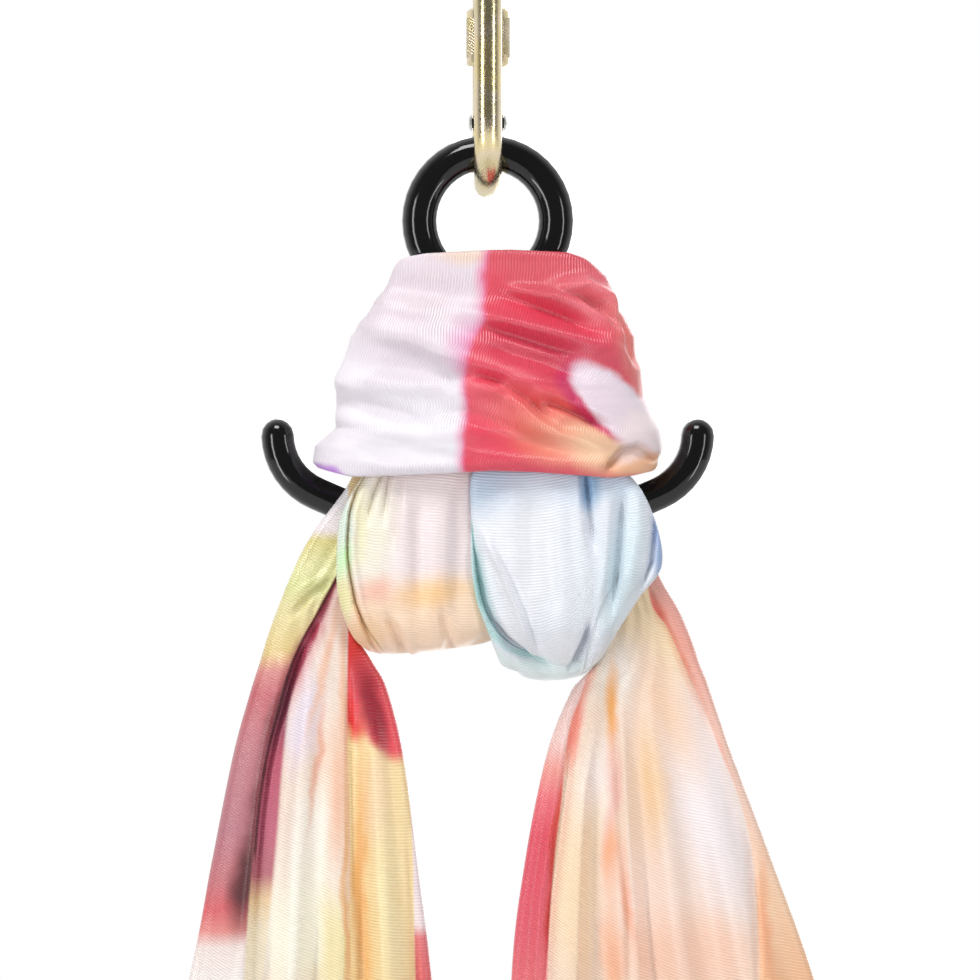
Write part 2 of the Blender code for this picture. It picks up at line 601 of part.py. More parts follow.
def make_lobe(side, word, rows):
    """One half of the silk down the front, round under the bottom bar and up behind, with its main folds."""
    path = flow(lobe_sections(rows), 2)
    last = len(path) - 1
    loops = []
    for i, (y, z, outer, inner, half, bow, slant) in enumerate(path):
        ahead, behind = path[min(i + 1, last)], path[max(i - 1, 0)]
        way = Vector((0, ahead[0] - behind[0], ahead[1] - behind[1])).normalized()
        if i in (0, last):
            way = Vector((0, 0, -1 if i == 0 else 1))
        out = Vector((0, way.z, -way.y))
        ridged = LOBE_RIDGE * min(1.0, i / 3, (last - i) / 3)

        middle, reach = Vector((side * (outer + inner) / 2, y, z)), side * (outer - inner) / 2

        def place(q, face, middle=middle, reach=reach, half=half, bow=bow, slant=slant, out=out, i=i, ridged=ridged):
            ridge = ridged * math.cos(9 * q + 0.15 * i) * (face > 0) * (1 - q**4)
            lift = face * half * edge(q) + ridge - bow * q * q + slant * q
            return middle + Vector((q * reach, 0, 0)) + out * lift

        loops.append(loop_of(rounded(11), place))
    piece(f"{word}_lobe", skin(loops), "cloth")


def make_inner_turn(side, word, rows, room):
    """One half of the silk, forwards through the large ring again, from the lobe's end to the tail's top."""
    y, z, outer, inner, half, *_ = lobe_sections(rows)[-1]
    centre = (outer + inner) / 2
    wide = (outer - inner) / 2
    low = z + GAP
    reach = BIG_SIDE - BAR - 2 * GAP - centre
    rows = [
        (centre, y, low, wide, 0, 0, 0, half, 0),
        (centre, y - 2 * MM, low + 5 * MM, wide, 0, 0, 0, half, 3 * MM),
        (centre - 1 * MM, y - 9 * MM, low + 9 * MM, reach, 0, 0, 0, 3 * MM, 6.5 * MM),
        (centre - 1 * MM, 0, low + 10 * MM, reach, 0, 0, 0, 0, 7.5 * MM),
        (centre - 1 * MM, -FACE - 8 * MM, low + 10 * MM, reach, 0, 0, 0, 0, 7.5 * MM),
    ]
    keys = [(side * r[0], *r[1:3], side * r[3], *r[4:]) for r in rows]
    made = bundle(f"{word}_inner_turn", keys, 2, 9)
    combine(made, room, "DIFFERENCE")

    # The room for the tail's round end, and for its inner edge below that.
    radius = TAIL_TURN_R + GAP
    turns = [math.radians(180 - 90 * k / 12) for k in range(13)]
    outline = [(-radius, -2 * radius)]
    outline += [(radius * math.cos(t), radius * math.sin(t)) for t in turns]
    outline += [(2 * radius, radius), (2 * radius, -2 * radius)]
    loops = []
    for d in (-FACE - 3 * TAIL_FRONT, -FACE + BR):
        loops.append([Vector((side * (TURN_X + u), d, TURN_Z + v)) for u, v in outline])
    combine(made, piece(f"{word}_tail_room", skin(loops), "cloth"), "DIFFERENCE")


# Each tail's sections, in millimetres: the height below the large ring's centre, its outer and inner edges
# from the large ring's side, the distance of its middle plane in front of the bar's face, its thickness
# and the depth of its main folds.
LEFT_TAIL = [
    (-3.5, 2.5, -7.0, 4.5, 7.0, 0.0),
    (2, 5.5, -14.2, 4.7, 7.6, 0.1),
    (8, 10.0, -16.5, 4.7, 8.0, 0.2),
    (16, 16.0, -15.5, 4.7, 8.2, 0.3),
    (25, 21.5, -11.5, 4.8, 8.4, 0.4),
    (36, 26.5, -1.5, 4.6, 8.8, 0.5),
    (46, 30.5, 4.6, 2.6, 9.4, 0.7),
    (56, 34.2, 4.2, 1.2, 9.8, 0.9),
    (66, 37.2, -2.0, 1.0, 9.6, 1.2),
    (76, 40.4, -9.2, 1.2, 9.4, 1.6),
    (100, 47.0, -15.7, 2.0, 9.0, 2.4),
    (140, 55.0, -21.0, 3.0, 8.0, 4.5),
    (185, 64.0, -26.5, 3.0, 7.0, 7.5),
    (270, 87.0, -34.0, 2.0, 5.5, 14.0),
    (420, 125.0, -38.0, 0.0, 4.5, 22.0),
    (550, 155.5, -38.5, -1.5, 4.2, 26.5),
    (700, 185.0, -36.0, -3.0, 4.0, 30.0),
    (900, 218.0, -33.0, -4.0, 3.8, 33.0),
    (1100, 247.0, -37.0, -5.0, 3.6, 35.0),
    (1350, 277.0, -40.0, -6.0, 3.5, 36.8),
    (1600, 303.0, -35.0, -6.8, 3.4, 38.0),
    (1820, 322.0, -31.0, -6.8, 3.4, 39.2),
    ("hem", 338.5, -38.0, -6.8, 3.4, 40.0),
]
RIGHT_TAIL = [
    (-3.5, 2.5, -7.0, 4.5, 7.0, 0.0),
    (2, 5.0, -14.2, 4.7, 7.6, 0.1),
    (8, 7.5, -16.5, 4.7, 8.0, 0.2),
    (16, 10.0, -15.5, 4.7, 8.2, 0.3),
    (25, 12.5, -11.5, 4.8, 8.4, 0.4),
    (36, 17.0, -3.0, 4.6, 8.8, 0.5),
    (46, 23.0, 1.0, 2.6, 9.4, 0.7),
    (56, 27.5, 0.4, 1.2, 9.8, 0.9),
    (66, 31.0, -1.5, 1.0, 9.6, 1.2),
    (72, 33.5, -9.0, 1.0, 9.4, 1.4),
    (78, 35.5, -16.4, 1.2, 9.4, 1.6),
    (100, 43.0, -25.4, 2.0, 9.0, 2.4),
    (140, 58.0, -33.5, 3.0, 8.0, 4.5),
    (185, 74.0, -38.5, 3.0, 7.0, 7.5),
    (270, 99.0, -39.5, 2.0, 5.5, 14.0),
    (420, 137.0, -36.0, 0.0, 4.5, 22.0),
    (550, 163.0, -33.0, -1.5, 4.2, 26.5),
    (700, 190.5, -36.0, -3.0, 4.0, 30.0),
    (900, 220.0, -40.0, -4.0, 3.8, 33.0),
    (1100, 247.0, -38.0, -5.0, 3.6, 35.0),
    (1350, 273.5, -33.0, -6.0, 3.5, 36.8),
    (1600, 298.5, -36.0, -6.8, 3.4, 38.0),
    (1820, 317.0, -40.0, -6.8, 3.4, 39.2),
    ("hem", 333.0, -35.0, -6.8, 3.4, 40.0),
]


def tail_wave(q, drop):
    """A tail's main folds, from -1 to 1, at q across it: uneven, and drifting on the way down."""
    bend = q + 0.10 * math.sin(3 * q + drop / 500)
    drift = 0.5 * math.sin(drop / 330)
    return 0.82 * math.cos(math.pi * TAIL_FOLDS * (bend + 1) + drift) + 0.18 * math.cos(5 * q + drop / 400)


def make_tail(side, word, rows):
    """One hanging half of the silk, a sheet whose main folds open out towards the hem."""
    keys = []
    for drop, outer, inner, front, thick, fold in rows:
        z = HEM_Z if drop == "hem" else BIG_Z - drop * MM
        edges = (BIG_SIDE + outer * MM, BIG_SIDE + inner * MM)
        keys.append((z, *edges, -FACE - front * MM, thick * MM, fold * MM))
    across = [1 - 2 * k / 24 for k in range(25)]
    loops = []
    for z, outer, inner, y, thick, fold in keys:

        def place(q, part, z=z, outer=outer, inner=inner, y=y, thick=thick, fold=fold):
            wave = fold * tail_wave(q, (BIG_Z - z) / MM)
            x = (outer + inner) / 2 + q * (outer - inner) / 2
            return Vector((side * x, y + wave - part * thick / 2 * edge(q, 8), z))

        loops.append(loop_of(across, place))
    sheet = skin(loops)
    bmesh.ops.triangulate(sheet, faces=sheet.faces)  # its quads are too twisted to be one face each
    piece(f"{word}_tail", sheet, "cloth")


def main():
    for old in list(bpy.data.objects):
        bpy.data.objects.remove(old)
    make_body()
    make_gate()
    make_rivet()
    make_plunger_and_spring()
    make_sleeve()
    make_eight("figure_eight")
    room = guide(make_eight("cloth_room", GAP))
    make_band(room)
    for side, word, lobe, tail in ((-1, "left", LEFT_LOBE, LEFT_TAIL), (1, "right", RIGHT_LOBE, RIGHT_TAIL)):
        make_throat(side, word, room)
        make_lobe(side, word, lobe)
        make_inner_turn(side, word, lobe, room)
        make_tail(side, word, tail)


main()
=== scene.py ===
# %% [markdown]
# # Aerial silks on a figure eight and a screw-gate carabiner
# One long cloth is hitched on a black figure eight, and the eight hangs in a plated carabiner. The metal
# parts come from the CAD model and get their real finishes. Each stretch of cloth is a stiff stand-in there,
# so this lesson replaces it with a fuller one that has the folds and the watercolour wash.

import json
import math

import bmesh
import bpy
import numpy as np
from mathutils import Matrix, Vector


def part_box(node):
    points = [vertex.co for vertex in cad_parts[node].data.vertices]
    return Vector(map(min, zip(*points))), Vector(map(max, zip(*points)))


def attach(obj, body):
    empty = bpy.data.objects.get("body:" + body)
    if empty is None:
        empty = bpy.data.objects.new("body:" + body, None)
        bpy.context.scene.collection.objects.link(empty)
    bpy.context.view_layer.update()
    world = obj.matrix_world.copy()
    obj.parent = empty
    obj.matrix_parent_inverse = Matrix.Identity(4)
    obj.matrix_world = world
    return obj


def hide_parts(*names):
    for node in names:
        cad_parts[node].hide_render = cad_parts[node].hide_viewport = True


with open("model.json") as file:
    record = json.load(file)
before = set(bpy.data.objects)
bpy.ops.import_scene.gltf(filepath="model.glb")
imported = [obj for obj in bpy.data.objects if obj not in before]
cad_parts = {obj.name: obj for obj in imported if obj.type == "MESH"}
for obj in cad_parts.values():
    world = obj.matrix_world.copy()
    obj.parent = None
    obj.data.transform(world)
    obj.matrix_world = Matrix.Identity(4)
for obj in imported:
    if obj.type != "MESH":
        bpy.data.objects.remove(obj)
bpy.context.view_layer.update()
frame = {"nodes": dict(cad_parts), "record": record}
MM = 0.001

# %% [markdown]
# The places that the cloth lies on are the figure eight's, in metres. The photograph faces the eight
# squarely, so one function turns a place in the picture to a place in front of it.

# %% Places on the figure eight
GAP = 0.3 * MM
BAR_RADIUS = 6.5 * MM
FACE = BAR_RADIUS + GAP
EIGHT_Z = -205.25 * MM  # the large ring's centre
RING_LOW = -257.6 * MM
RING_SIDE = 47 * MM
BAND_TOP = -118.7 * MM
BAND_LOW = -203.35 * MM
HEM_Z = -2245.25 * MM
PIXEL = 0.37 * MM
MIDDLE_PX = 488  # the eight's middle in the photograph
KNOWN_PY, KNOWN_Z = 221, -108.1 * MM  # one height in the photograph, and in metres


def seen(px, py):
    """The X and Z in metres of a place in the photograph."""
    return (px - MIDDLE_PX) * PIXEL, KNOWN_Z - (py - KNOWN_PY) * PIXEL


def level(py):
    """The Z in metres of a height in the photograph."""
    return seen(0, py)[1]


print("the picture goes from Z", round(level(0), 4), "down to", round(level(980), 4), "m")

# %% [markdown]
# ## Studio
# A product picture like this one has a white wall behind the object, tall soft lamps at its sides and a
# darker room behind the camera. The world is white to the camera, gloss sees the white wall and the darker
# room, and as a light the world is dimmer, so the folds keep their shade.


# %% Nodes, colours and the world
def linear(code):
    """The linear colour of an sRGB hex value."""
    parts = [int(code[i : i + 2], 16) / 255 for i in (1, 3, 5)]
    return [p / 12.92 if p <= 0.04045 else ((p + 0.055) / 1.055) ** 2.4 for p in parts] + [1.0]


def add(tree, kind, inputs=None, **settings):
    """A node with its settings, and its inputs given as values or as sockets to link from."""
    made = tree.nodes.new("ShaderNode" + kind)
    for name, value in settings.items():
        setattr(made, name, value)
    for name, value in (inputs or {}).items():
        socket = made.inputs[name]
        if isinstance(value, bpy.types.NodeSocket):
            tree.links.new(value, socket)
        else:
            socket.default_value = linear(value) if isinstance(value, str) else value
    return made


def maths(tree, operation, *values):
    """The result of one sum on values or sockets."""
    return add(tree, "Math", dict(enumerate(values)), operation=operation).outputs[0]


def ranged(tree, value, start, end, low=0.0, high=1.0, **settings):
    """A value between start and end carried over to the range from low to high, and held at both ends."""
    ends = {"Value": value, "From Min": start, "From Max": end, "To Min": low, "To Max": high}
    return add(tree, "MapRange", ends, **settings).outputs[0]


def eased(tree, value, start, end):
    """0 at start and 1 at end, with a smooth step between."""
    return ranged(tree, value, start, end, interpolation_type="SMOOTHSTEP")


def axes(tree, where):
    """The X, Y and Z of a place, by name."""
    return add(tree, "SeparateXYZ", {0: where}).outputs


def here(tree):
    """The place on the piece, in its own coordinates."""
    return add(tree, "TexCoord").outputs["Object"]


def noise(tree, where, scale, detail, distortion=0.0):
    """Soft noise with its scale in patches to the metre. Its outputs are Fac and Color."""
    settings = {"Vector": where, "Scale": scale, "Detail": detail, "Distortion": distortion}
    return add(tree, "TexNoise", settings).outputs


def ramp(tree, value, stops):
    """The colour at a value from 0 to 1, through stops of a place and a colour."""
    made = add(tree, "ValToRGB", {"Fac": value})
    points = made.color_ramp.elements
    points[0].position, points[0].color = stops[0][0], linear(stops[0][1])
    points[1].position, points[1].color = stops[-1][0], linear(stops[-1][1])
    for place, code in stops[1:-1]:
        points.new(place).color = linear(code)
    return made.outputs[0]


def blank(name):
    """A new material, and its tree with nothing in it."""
    made = bpy.data.materials.new(name)
    made.use_nodes = True
    made.node_tree.nodes.clear()
    return made, made.node_tree


def surface(tree, settings):
    """A principled surface with these settings, on the material's output."""
    shader = add(tree, "BsdfPrincipled", settings)
    add(tree, "OutputMaterial", {"Surface": shader.outputs[0]})


def looked_at(tree):
    """1 where the camera, gloss or glass looks, 0 where only light is gathered."""
    rays = add(tree, "LightPath").outputs
    direct = maths(tree, "MAXIMUM", rays["Is Camera Ray"], rays["Is Glossy Ray"])
    return maths(tree, "MAXIMUM", direct, rays["Is Transmission Ray"])


WORLD_LIGHT = 0.42
ROOM_DARK = 0.16  # what gloss sees behind the camera, where the wall is 1
ROOM_TO_WALL = (-0.3, 0.35)  # how far back a glossy ray points where the one turns to the other
world = bpy.data.worlds.new("studio")
world.use_nodes = True
sky = world.node_tree
sky.nodes.clear()
way = axes(sky, add(sky, "TexCoord").outputs["Generated"])
wall = ranged(sky, way["Y"], *ROOM_TO_WALL, ROOM_DARK, 1.0)
straight = maths(sky, "MULTIPLY_ADD", add(sky, "LightPath").outputs["Is Glossy Ray"], -1.0, 1.0)
wall = maths(sky, "MAXIMUM", wall, straight)
lamp_part = add(sky, "Background", {"Color": "#ffffff", "Strength": WORLD_LIGHT})
seen_part = add(sky, "Background", {"Color": "#ffffff", "Strength": wall})
both = add(sky, "MixShader", {0: looked_at(sky), 1: lamp_part.outputs[0], 2: seen_part.outputs[0]})
add(sky, "OutputWorld", {"Surface": both.outputs[0]})
bpy.context.scene.world = world
bpy.context.scene.view_settings.view_transform = "Standard"
print("world nodes:", len(sky.nodes))


# %% Lamps, floor and camera
def placed(name, data):
    """An object with this data, in the scene."""
    made = bpy.data.objects.new(name, data)
    bpy.context.collection.objects.link(made)
    return made


def meshed(name, bm, material, smooth=True):
    """An object made of a bmesh, in one material."""
    mesh = bpy.data.meshes.new(name)
    bm.to_mesh(mesh)
    bm.free()
    if smooth:
        mesh.shade_smooth()
    mesh.materials.append(material)
    return placed(name, mesh)


def softbox(name, place, aim, size, power):
    """A rectangular lamp that faces a point, with its power in watts."""
    lamp = bpy.data.lights.new(name, "AREA")
    lamp.shape = "RECTANGLE"
    lamp.size, lamp.size_y = size
    lamp.energy = power
    made = placed(name, lamp)
    made.location = place
    made.rotation_euler = (Vector(aim) - Vector(place)).to_track_quat("-Z", "Y").to_euler()


softbox("key", (-2.0, -1.9, -0.6), (0, 0, -0.8), (0.5, 2.4), 30)
softbox("fill", (2.1, -1.8, -0.6), (0, 0, -0.8), (0.35, 2.4), 19)
softbox("top", (-0.3, -0.9, 1.5), (0, 0, -0.3), (0.9, 0.7), 23)
softbox("back", (0.6, 2.6, -0.2), (0, 0, -0.9), (1.6, 2.6), 34)

FLOOR_UNDER_HEM = 12 * MM
FLOOR_FADES = (0.5, 1.5)  # metres from the middle, where the floor turns to the white of the wall
pale, tree = blank("pale_studio_floor")
ground = add(tree, "BsdfPrincipled", {"Base Color": "#f4f4f4", "Roughness": 0.7})
flat = add(tree, "Mapping", {"Vector": here(tree), "Scale": (1, 1, 0)})
far = add(tree, "VectorMath", {0: flat.outputs[0]}, operation="LENGTH").outputs["Value"]
share = maths(tree, "MULTIPLY", eased(tree, far, *FLOOR_FADES), looked_at(tree))
white = add(tree, "Emission", {"Color": "#ffffff", "Strength": 1.0})
both = add(tree, "MixShader", {0: share, 1: ground.outputs[0], 2: white.outputs[0]})
add(tree, "OutputMaterial", {"Surface": both.outputs[0]})
disc = bmesh.new()
bmesh.ops.create_circle(disc, cap_ends=True, radius=6.0, segments=96)
bmesh.ops.translate(disc, verts=disc.verts, vec=(0, 0, HEM_Z - FLOOR_UNDER_HEM))
floor = meshed("studio_floor", disc, pale, smooth=False)

camera = bpy.data.cameras.new("view")
distance = 2.5  # metres, far enough for a picture without much perspective
camera.lens = 36 * distance / (980 * PIXEL)  # the picture is 980 pixels wide, the sensor 36 mm
eye = placed("view", camera)
middle = seen(490, 490)
eye.location = (middle[0], -distance, middle[1])
eye.rotation_euler = (math.radians(90), 0, 0)
bpy.context.scene.camera = eye
print("lens:", round(camera.lens, 1), "mm at", distance, "m")

# %% [markdown]
# ## Metal finishes
# The carabiner is steel with yellow zinc plating: a thin passivation film that shifts from straw to pink and
# green in soft patches. It could be one gold colour, but the drift between the hues is what the eye knows it
# by, so slow noise mixes them. The pins are bright steel. The eight has a thick gloss black coating, which
# flows out smooth, so it is a near-black base with a low roughness and a very faint orange peel.


# %% Yellow zinc plating
KNURL_PITCH = 1.2 * MM
KNURL_TEETH = 42.0  # round the sleeve
KNURL_ENDS = (4.5 * MM, 3.5 * MM)  # the smooth collars below and above it


def knurl(tree, where):
    """The height of a diamond knurl round the sleeve's own axis, between its smooth collars."""
    low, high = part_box("lock_sleeve")
    place = axes(tree, where)
    off = maths(tree, "SUBTRACT", place["Y"], (low[1] + high[1]) / 2)
    turn = maths(tree, "ARCTAN2", place["X"], off)
    heights = []
    for slant in (1, -1):
        lead = maths(tree, "MULTIPLY", place["Z"], slant * 2 * math.pi / KNURL_PITCH)
        heights.append(maths(tree, "SINE", maths(tree, "MULTIPLY_ADD", turn, KNURL_TEETH, lead)))
    foot, top = low[2] + KNURL_ENDS[0], high[2] - KNURL_ENDS[1]
    middle = maths(tree, "COMPARE", place["Z"], (foot + top) / 2, (top - foot) / 2)
    return maths(tree, "MULTIPLY", maths(tree, "MINIMUM", *heights), middle)


def zinc_plate(name, knurled=False):
    """Yellow-passivated zinc on steel: a metal in straw, pink and green, lightly handled."""
    made, tree = blank(name)
    where = here(tree)
    hues = [(0.30, "#dcc88f"), (0.44, "#e6d5a4"), (0.52, "#e2d2b6"), (0.60, "#d3c79c"), (0.70, "#dcbb9f")]
    colour = ramp(tree, noise(tree, where, 45.0, 1.0, 0.3)["Fac"], hues)
    grain = noise(tree, where, 1400.0, 3.0)["Fac"]
    bump = add(tree, "Bump", {"Height": grain, "Strength": 0.5, "Distance": 0.06 * MM})
    if knurled:
        cuts = {"Height": knurl(tree, where), "Strength": 1.0, "Distance": 0.25 * MM}
        bump = add(tree, "Bump", {**cuts, "Normal": bump.outputs[0]})
    rough = ranged(tree, grain, 0.3, 0.7, 0.14, 0.36)
    settings = {"Base Color": colour, "Metallic": 1.0, "Roughness": rough, "Normal": bump.outputs[0]}
    surface(tree, settings)
    return made


# %% Bright steel and gloss black coating
def bright_steel():
    """Drawn steel pins and spring wire: grey metal with fine grain."""
    made, tree = blank("bright_drawn_steel")
    rough = ranged(tree, noise(tree, here(tree), 1500.0, 2.0)["Fac"], 0, 1, 0.24, 0.40)
    surface(tree, {"Base Color": "#c9c7c2", "Metallic": 1.0, "Roughness": rough})
    return made


def black_coating():
    """Gloss black powder coating on bar: deep black, wet highlights, faint orange peel."""
    made, tree = blank("gloss_black_powder_coating")
    where = here(tree)
    peel = noise(tree, where, 260.0, 1.0)["Fac"]
    rough = ranged(tree, noise(tree, where, 60.0, 4.0)["Fac"], 0, 1, 0.06, 0.16)
    bump = add(tree, "Bump", {"Height": peel, "Strength": 0.05, "Distance": 0.12 * MM})
    surface(tree, {"Base Color": "#0b0b0d", "Roughness": rough, "Normal": bump.outputs[0]})
    return made


finishes = {
    "zinc": zinc_plate("yellow_zinc_plating"),
    "knurled_zinc": zinc_plate("knurled_yellow_zinc_plating", True),
    "steel": bright_steel(),
    "black": black_coating(),
}
worn_by = {
    "zinc": ["carabiner_body", "carabiner_gate"],
    "knurled_zinc": ["lock_sleeve"],
    "steel": ["gate_hinge_rivet", "gate_latch_pin", "gate_plunger", "gate_spring"],
    "black": ["figure_eight"],
}
bodies = frame["record"]["behaviour"]["bodies"]
body_of = {node: body for body, nodes in bodies.items() for node in nodes}
SAME = 0.002 * MM  # corners closer than this are one
FLAT = math.radians(0.4)  # faces that turn by less than this are one
SHARP = math.radians(38)  # an edge sharper than this stays an edge


def dress(piece, node):
    """Makes a finished piece stand for a CAD node and ride on its body."""
    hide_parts(node)
    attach(piece, body_of[node])
    return piece


def polished(node, material):
    """A copy of a CAD node with its loose triangles merged and its round faces smooth, in its finish."""
    bm = bmesh.new()
    bm.from_mesh(frame["nodes"][node].data)
    bmesh.ops.remove_doubles(bm, verts=bm.verts, dist=SAME)
    bmesh.ops.dissolve_limit(bm, angle_limit=FLAT, verts=bm.verts, edges=bm.edges)
    made = meshed(node + "_finished", bm, material)
    made.data.set_sharp_from_angle(angle=SHARP)
    dress(made, node)


for finish, names in worn_by.items():
    for name in names:
        polished(name, finishes[finish])
    print(finish, "on", names)

# %% [markdown]
# ## The cloth's finish
# The cloth is a stretchy satin tricot: a warp knit whose fine ribs catch the light, dyed in soft washes that
# run into each other. A picture could be pasted on, but a wash is only soft pools of colour, so each pool is
# an ellipse with a wide soft edge, and noise bends all the edges as wet dye does. Some pools and thin lines
# are painted shade in folds and along fold lines, and some pools are painted light where folds and the
# pieces above them shade the cloth. Real ribs are about 0.4 mm apart, too fine to show, so they are drawn
# 1.1 mm apart, and the colour darkens between them as painted shade.


# %% Wet dye, painted shade and light: pools, bands, edges and fold lines
def wet(tree):
    """Object coordinates pushed about by noise, so that what is painted by them has wet dye's edges."""
    at = here(tree)
    for scale, reach in ((26.0, 6 * MM), (130.0, 1.3 * MM)):
        drift = noise(tree, at, scale, 2.0)["Color"]
        shift = add(tree, "VectorMath", {0: drift, 1: (0.5, 0.5, 0.5)}, operation="SUBTRACT")
        push = add(tree, "VectorMath", {0: shift.outputs[0], "Scale": 2 * reach}, operation="SCALE")
        at = add(tree, "VectorMath", {0: at, 1: push.outputs[0]}, operation="ADD").outputs[0]
    return at


def mix(tree, much, under, over):
    """One colour laid over another by a share."""
    return add(tree, "Mix", {0: much, 6: under, 7: over}, data_type="RGBA").outputs[2]


THROUGH = 1000.0  # metres, so that a pool goes right through the cloth


def pools(tree, at, colour, spots):
    """Soft ellipses of colour laid over a colour, in the photograph's places: dye, and in some tables painted
    shade and painted light.
    """
    for px, py, wide, high, turn, edge, code in spots:
        x, z = seen(px, py)
        ends = {"Vector": at, "Location": (x, 0, z), "Rotation": (0, math.radians(turn), 0)}
        ends["Scale"] = (wide * PIXEL, THROUGH, high * PIXEL)
        pool = add(tree, "Mapping", ends, vector_type="TEXTURE")
        far = add(tree, "VectorMath", {0: pool.outputs[0]}, operation="LENGTH").outputs["Value"]
        colour = mix(tree, eased(tree, far, 1 + edge, 1 - edge), colour, code)
    return colour


def bands(tree, at, stops):
    """Colours that follow each other down the cloth. Each stop: its height in the photograph, its colour."""
    top, low = stops[0][0], stops[-1][0]
    down = ranged(tree, axes(tree, at)["Z"], level(top), level(low))
    return ramp(tree, down, [((py - top) / (low - top), code) for py, code in stops])


def beyond(tree, line, soft=1.5, at=None):
    """0 left of a line down the photograph and 1 right of it, so that a fold's edge parts two colours."""
    place = axes(tree, at or here(tree))
    top, low = line[0][1], line[-1][1]
    left, right = min(p[0] for p in line) - 1, max(p[0] for p in line) + 1
    bend = add(tree, "FloatCurve", {"Value": ranged(tree, place["Z"], level(top), level(low))})
    points = bend.mapping.curves[0].points
    shares = [((py - top) / (low - top), (px - left) / (right - left)) for px, py in line]
    points[0].location, points[1].location = shares[0], shares[-1]
    for share in shares[1:-1]:
        points.new(*share)
    bend.mapping.update()
    edge = ranged(tree, bend.outputs[0], 0, 1, seen(left, 0)[0], seen(right, 0)[0])
    off = maths(tree, "SUBTRACT", place["X"], edge)
    return eased(tree, off, -soft * PIXEL, soft * PIXEL)


CREASE_FADE = 14  # pixels over which a crease fades at each end


def painted_crease_shade(tree, colour, line, wide, code):
    """A thin line of painted shade down a fold's edge on the cloth's front, where the cloth shades itself."""
    sides = [beyond(tree, [(px + way * wide / 2, py) for px, py in line], 0.8) for way in (-1, 1)]
    share = maths(tree, "SUBTRACT", *sides)
    place = axes(tree, here(tree))
    top, low = line[0][1], line[-1][1]
    limits = [("Y", -BAR_RADIUS + MM, -BAR_RADIUS)]
    limits += [("Z", level(top), level(top + CREASE_FADE)), ("Z", level(low), level(low - CREASE_FADE))]
    for axis, none, full in limits:
        share = maths(tree, "MULTIPLY", share, ranged(tree, place[axis], none, full))
    return mix(tree, share, colour, code)


PATCH_EDGE = 0.09  # how much the noise rises from a patch's edge to its full colour
FALL_FROM, FALL_FULL = 985, 1230  # heights in the photograph, below its lower edge


def fall(tree, colour, dyes):
    """A tail's colour with the part below the picture in soft patches of the same dyes, a noise for each.
    Each dye: its colour, its noise's place, the noise's value where it begins."""
    where = here(tree)
    wash = "#f6e8ec"
    for code, place, least in dyes:
        ends = {"Vector": where, "Scale": (7.0, 2.0, 3.0), "Location": (place, 0, 0)}
        slow = noise(tree, add(tree, "Mapping", ends).outputs[0], 1.0, 2.0, 0.3)["Fac"]
        wash = mix(tree, eased(tree, slow, least, least + PATCH_EDGE), wash, code)
    below = eased(tree, axes(tree, where)["Z"], level(FALL_FROM), level(FALL_FULL))
    return mix(tree, below, colour, wash)


# %% Satin tricot
RIB_PITCH = 1.1 * MM


def tricot(name, dye):
    """Satin warp-knit cloth: the dye function's colour, with painted shade and light in it, darkened between
    the fine ribs as painted shade; the ribs run across the length of its UV map and are also a bump; a soft
    sheen.
    """
    made, tree = blank(name)
    wave = {"Vector": add(tree, "UVMap").outputs[0], "Scale": 2 * math.pi / (20 * RIB_PITCH)}
    wave |= {"Distortion": 0.5, "Detail": 2.0, "Detail Scale": 0.15}
    ribs = add(tree, "TexWave", wave, bands_direction="Y").outputs["Fac"]
    # The ribs darken the colour between them: painted shade, on top of their bump below.
    shade = ranged(tree, ribs, 0, 1, 0.87, 1.04)
    dye_with_rib_shade = add(tree, "VectorMath", {0: dye(tree), "Scale": shade}, operation="SCALE")
    crumple = noise(tree, here(tree), 70.0, 3.0)["Fac"]
    soft = add(tree, "Bump", {"Height": crumple, "Strength": 0.4, "Distance": 0.9 * MM}).outputs[0]
    fine = add(tree, "Bump", {"Height": ribs, "Strength": 0.8, "Distance": 0.16 * MM, "Normal": soft})
    settings = {"Base Color": dye_with_rib_shade.outputs[0], "Normal": fine.outputs[0]}
    settings |= {"Roughness": ranged(tree, ribs, 0, 1, 0.44, 0.30), "Specular IOR Level": 0.8}
    settings |= {"Sheen Weight": 0.2, "Sheen Roughness": 0.4}
    surface(tree, settings)
    return made


# %% The band's and the lobes' dyes, with painted shade and light
# Each pool: its middle in the photograph, its half width and half height, its turn, its edge's softness
# and its colour.
BAND_LEFT = [
    (430, 300, 78, 46, 8, 0.7, "#e6d6df"), (420, 432, 90, 44, 0, 0.7, "#f0eaf3"),
    (346, 384, 16, 60, 0, 0.7, "#f6eef6"), (474, 258, 30, 10, 0, 0.7, "#ecd2c4"),
    (472, 345, 22, 24, 10, 0.7, "#e6a9cc"), (328, 478, 34, 12, 22, 0.3, "#bf7ddb"),
]
BAND_EDGE = [(492, 240), (485, 285), (481, 318), (469, 352), (467, 400), (460, 440), (463, 480)]
BAND_RIM = [(px - 5, py) for px, py in BAND_EDGE]
BAND_RIGHT = [
    # The lighter red pool at (606, 304) is painted light, where a fold shades the red.
    (575, 276, 108, 34, 10, 0.5, "#d84e5e"), (606, 304, 34, 22, 24, 0.8, "#f57a86"),
    (545, 350, 80, 20, 14, 0.8, "#d63e58"), (500, 400, 46, 40, 0, 0.8, "#ea4c64"),
    (646, 360, 26, 70, -22, 0.5, "#ee7f78"), (560, 430, 66, 30, 22, 0.7, "#ee7068"),
    (584, 448, 52, 24, 14, 0.7, "#f4a184"), (602, 450, 34, 22, 6, 0.6, "#f8c8a2"),
    (601, 401, 54, 25, 44, 0.16, "#d02860"), (612, 403, 54, 22, 44, 0.16, "#ecdbe8"),
    (646, 438, 24, 32, -10, 0.4, "#f8e6ea"), (636, 468, 28, 13, -4, 0.4, "#f2b890"),
    (630, 458, 16, 8, -20, 0.6, "#efd0c6"),
]
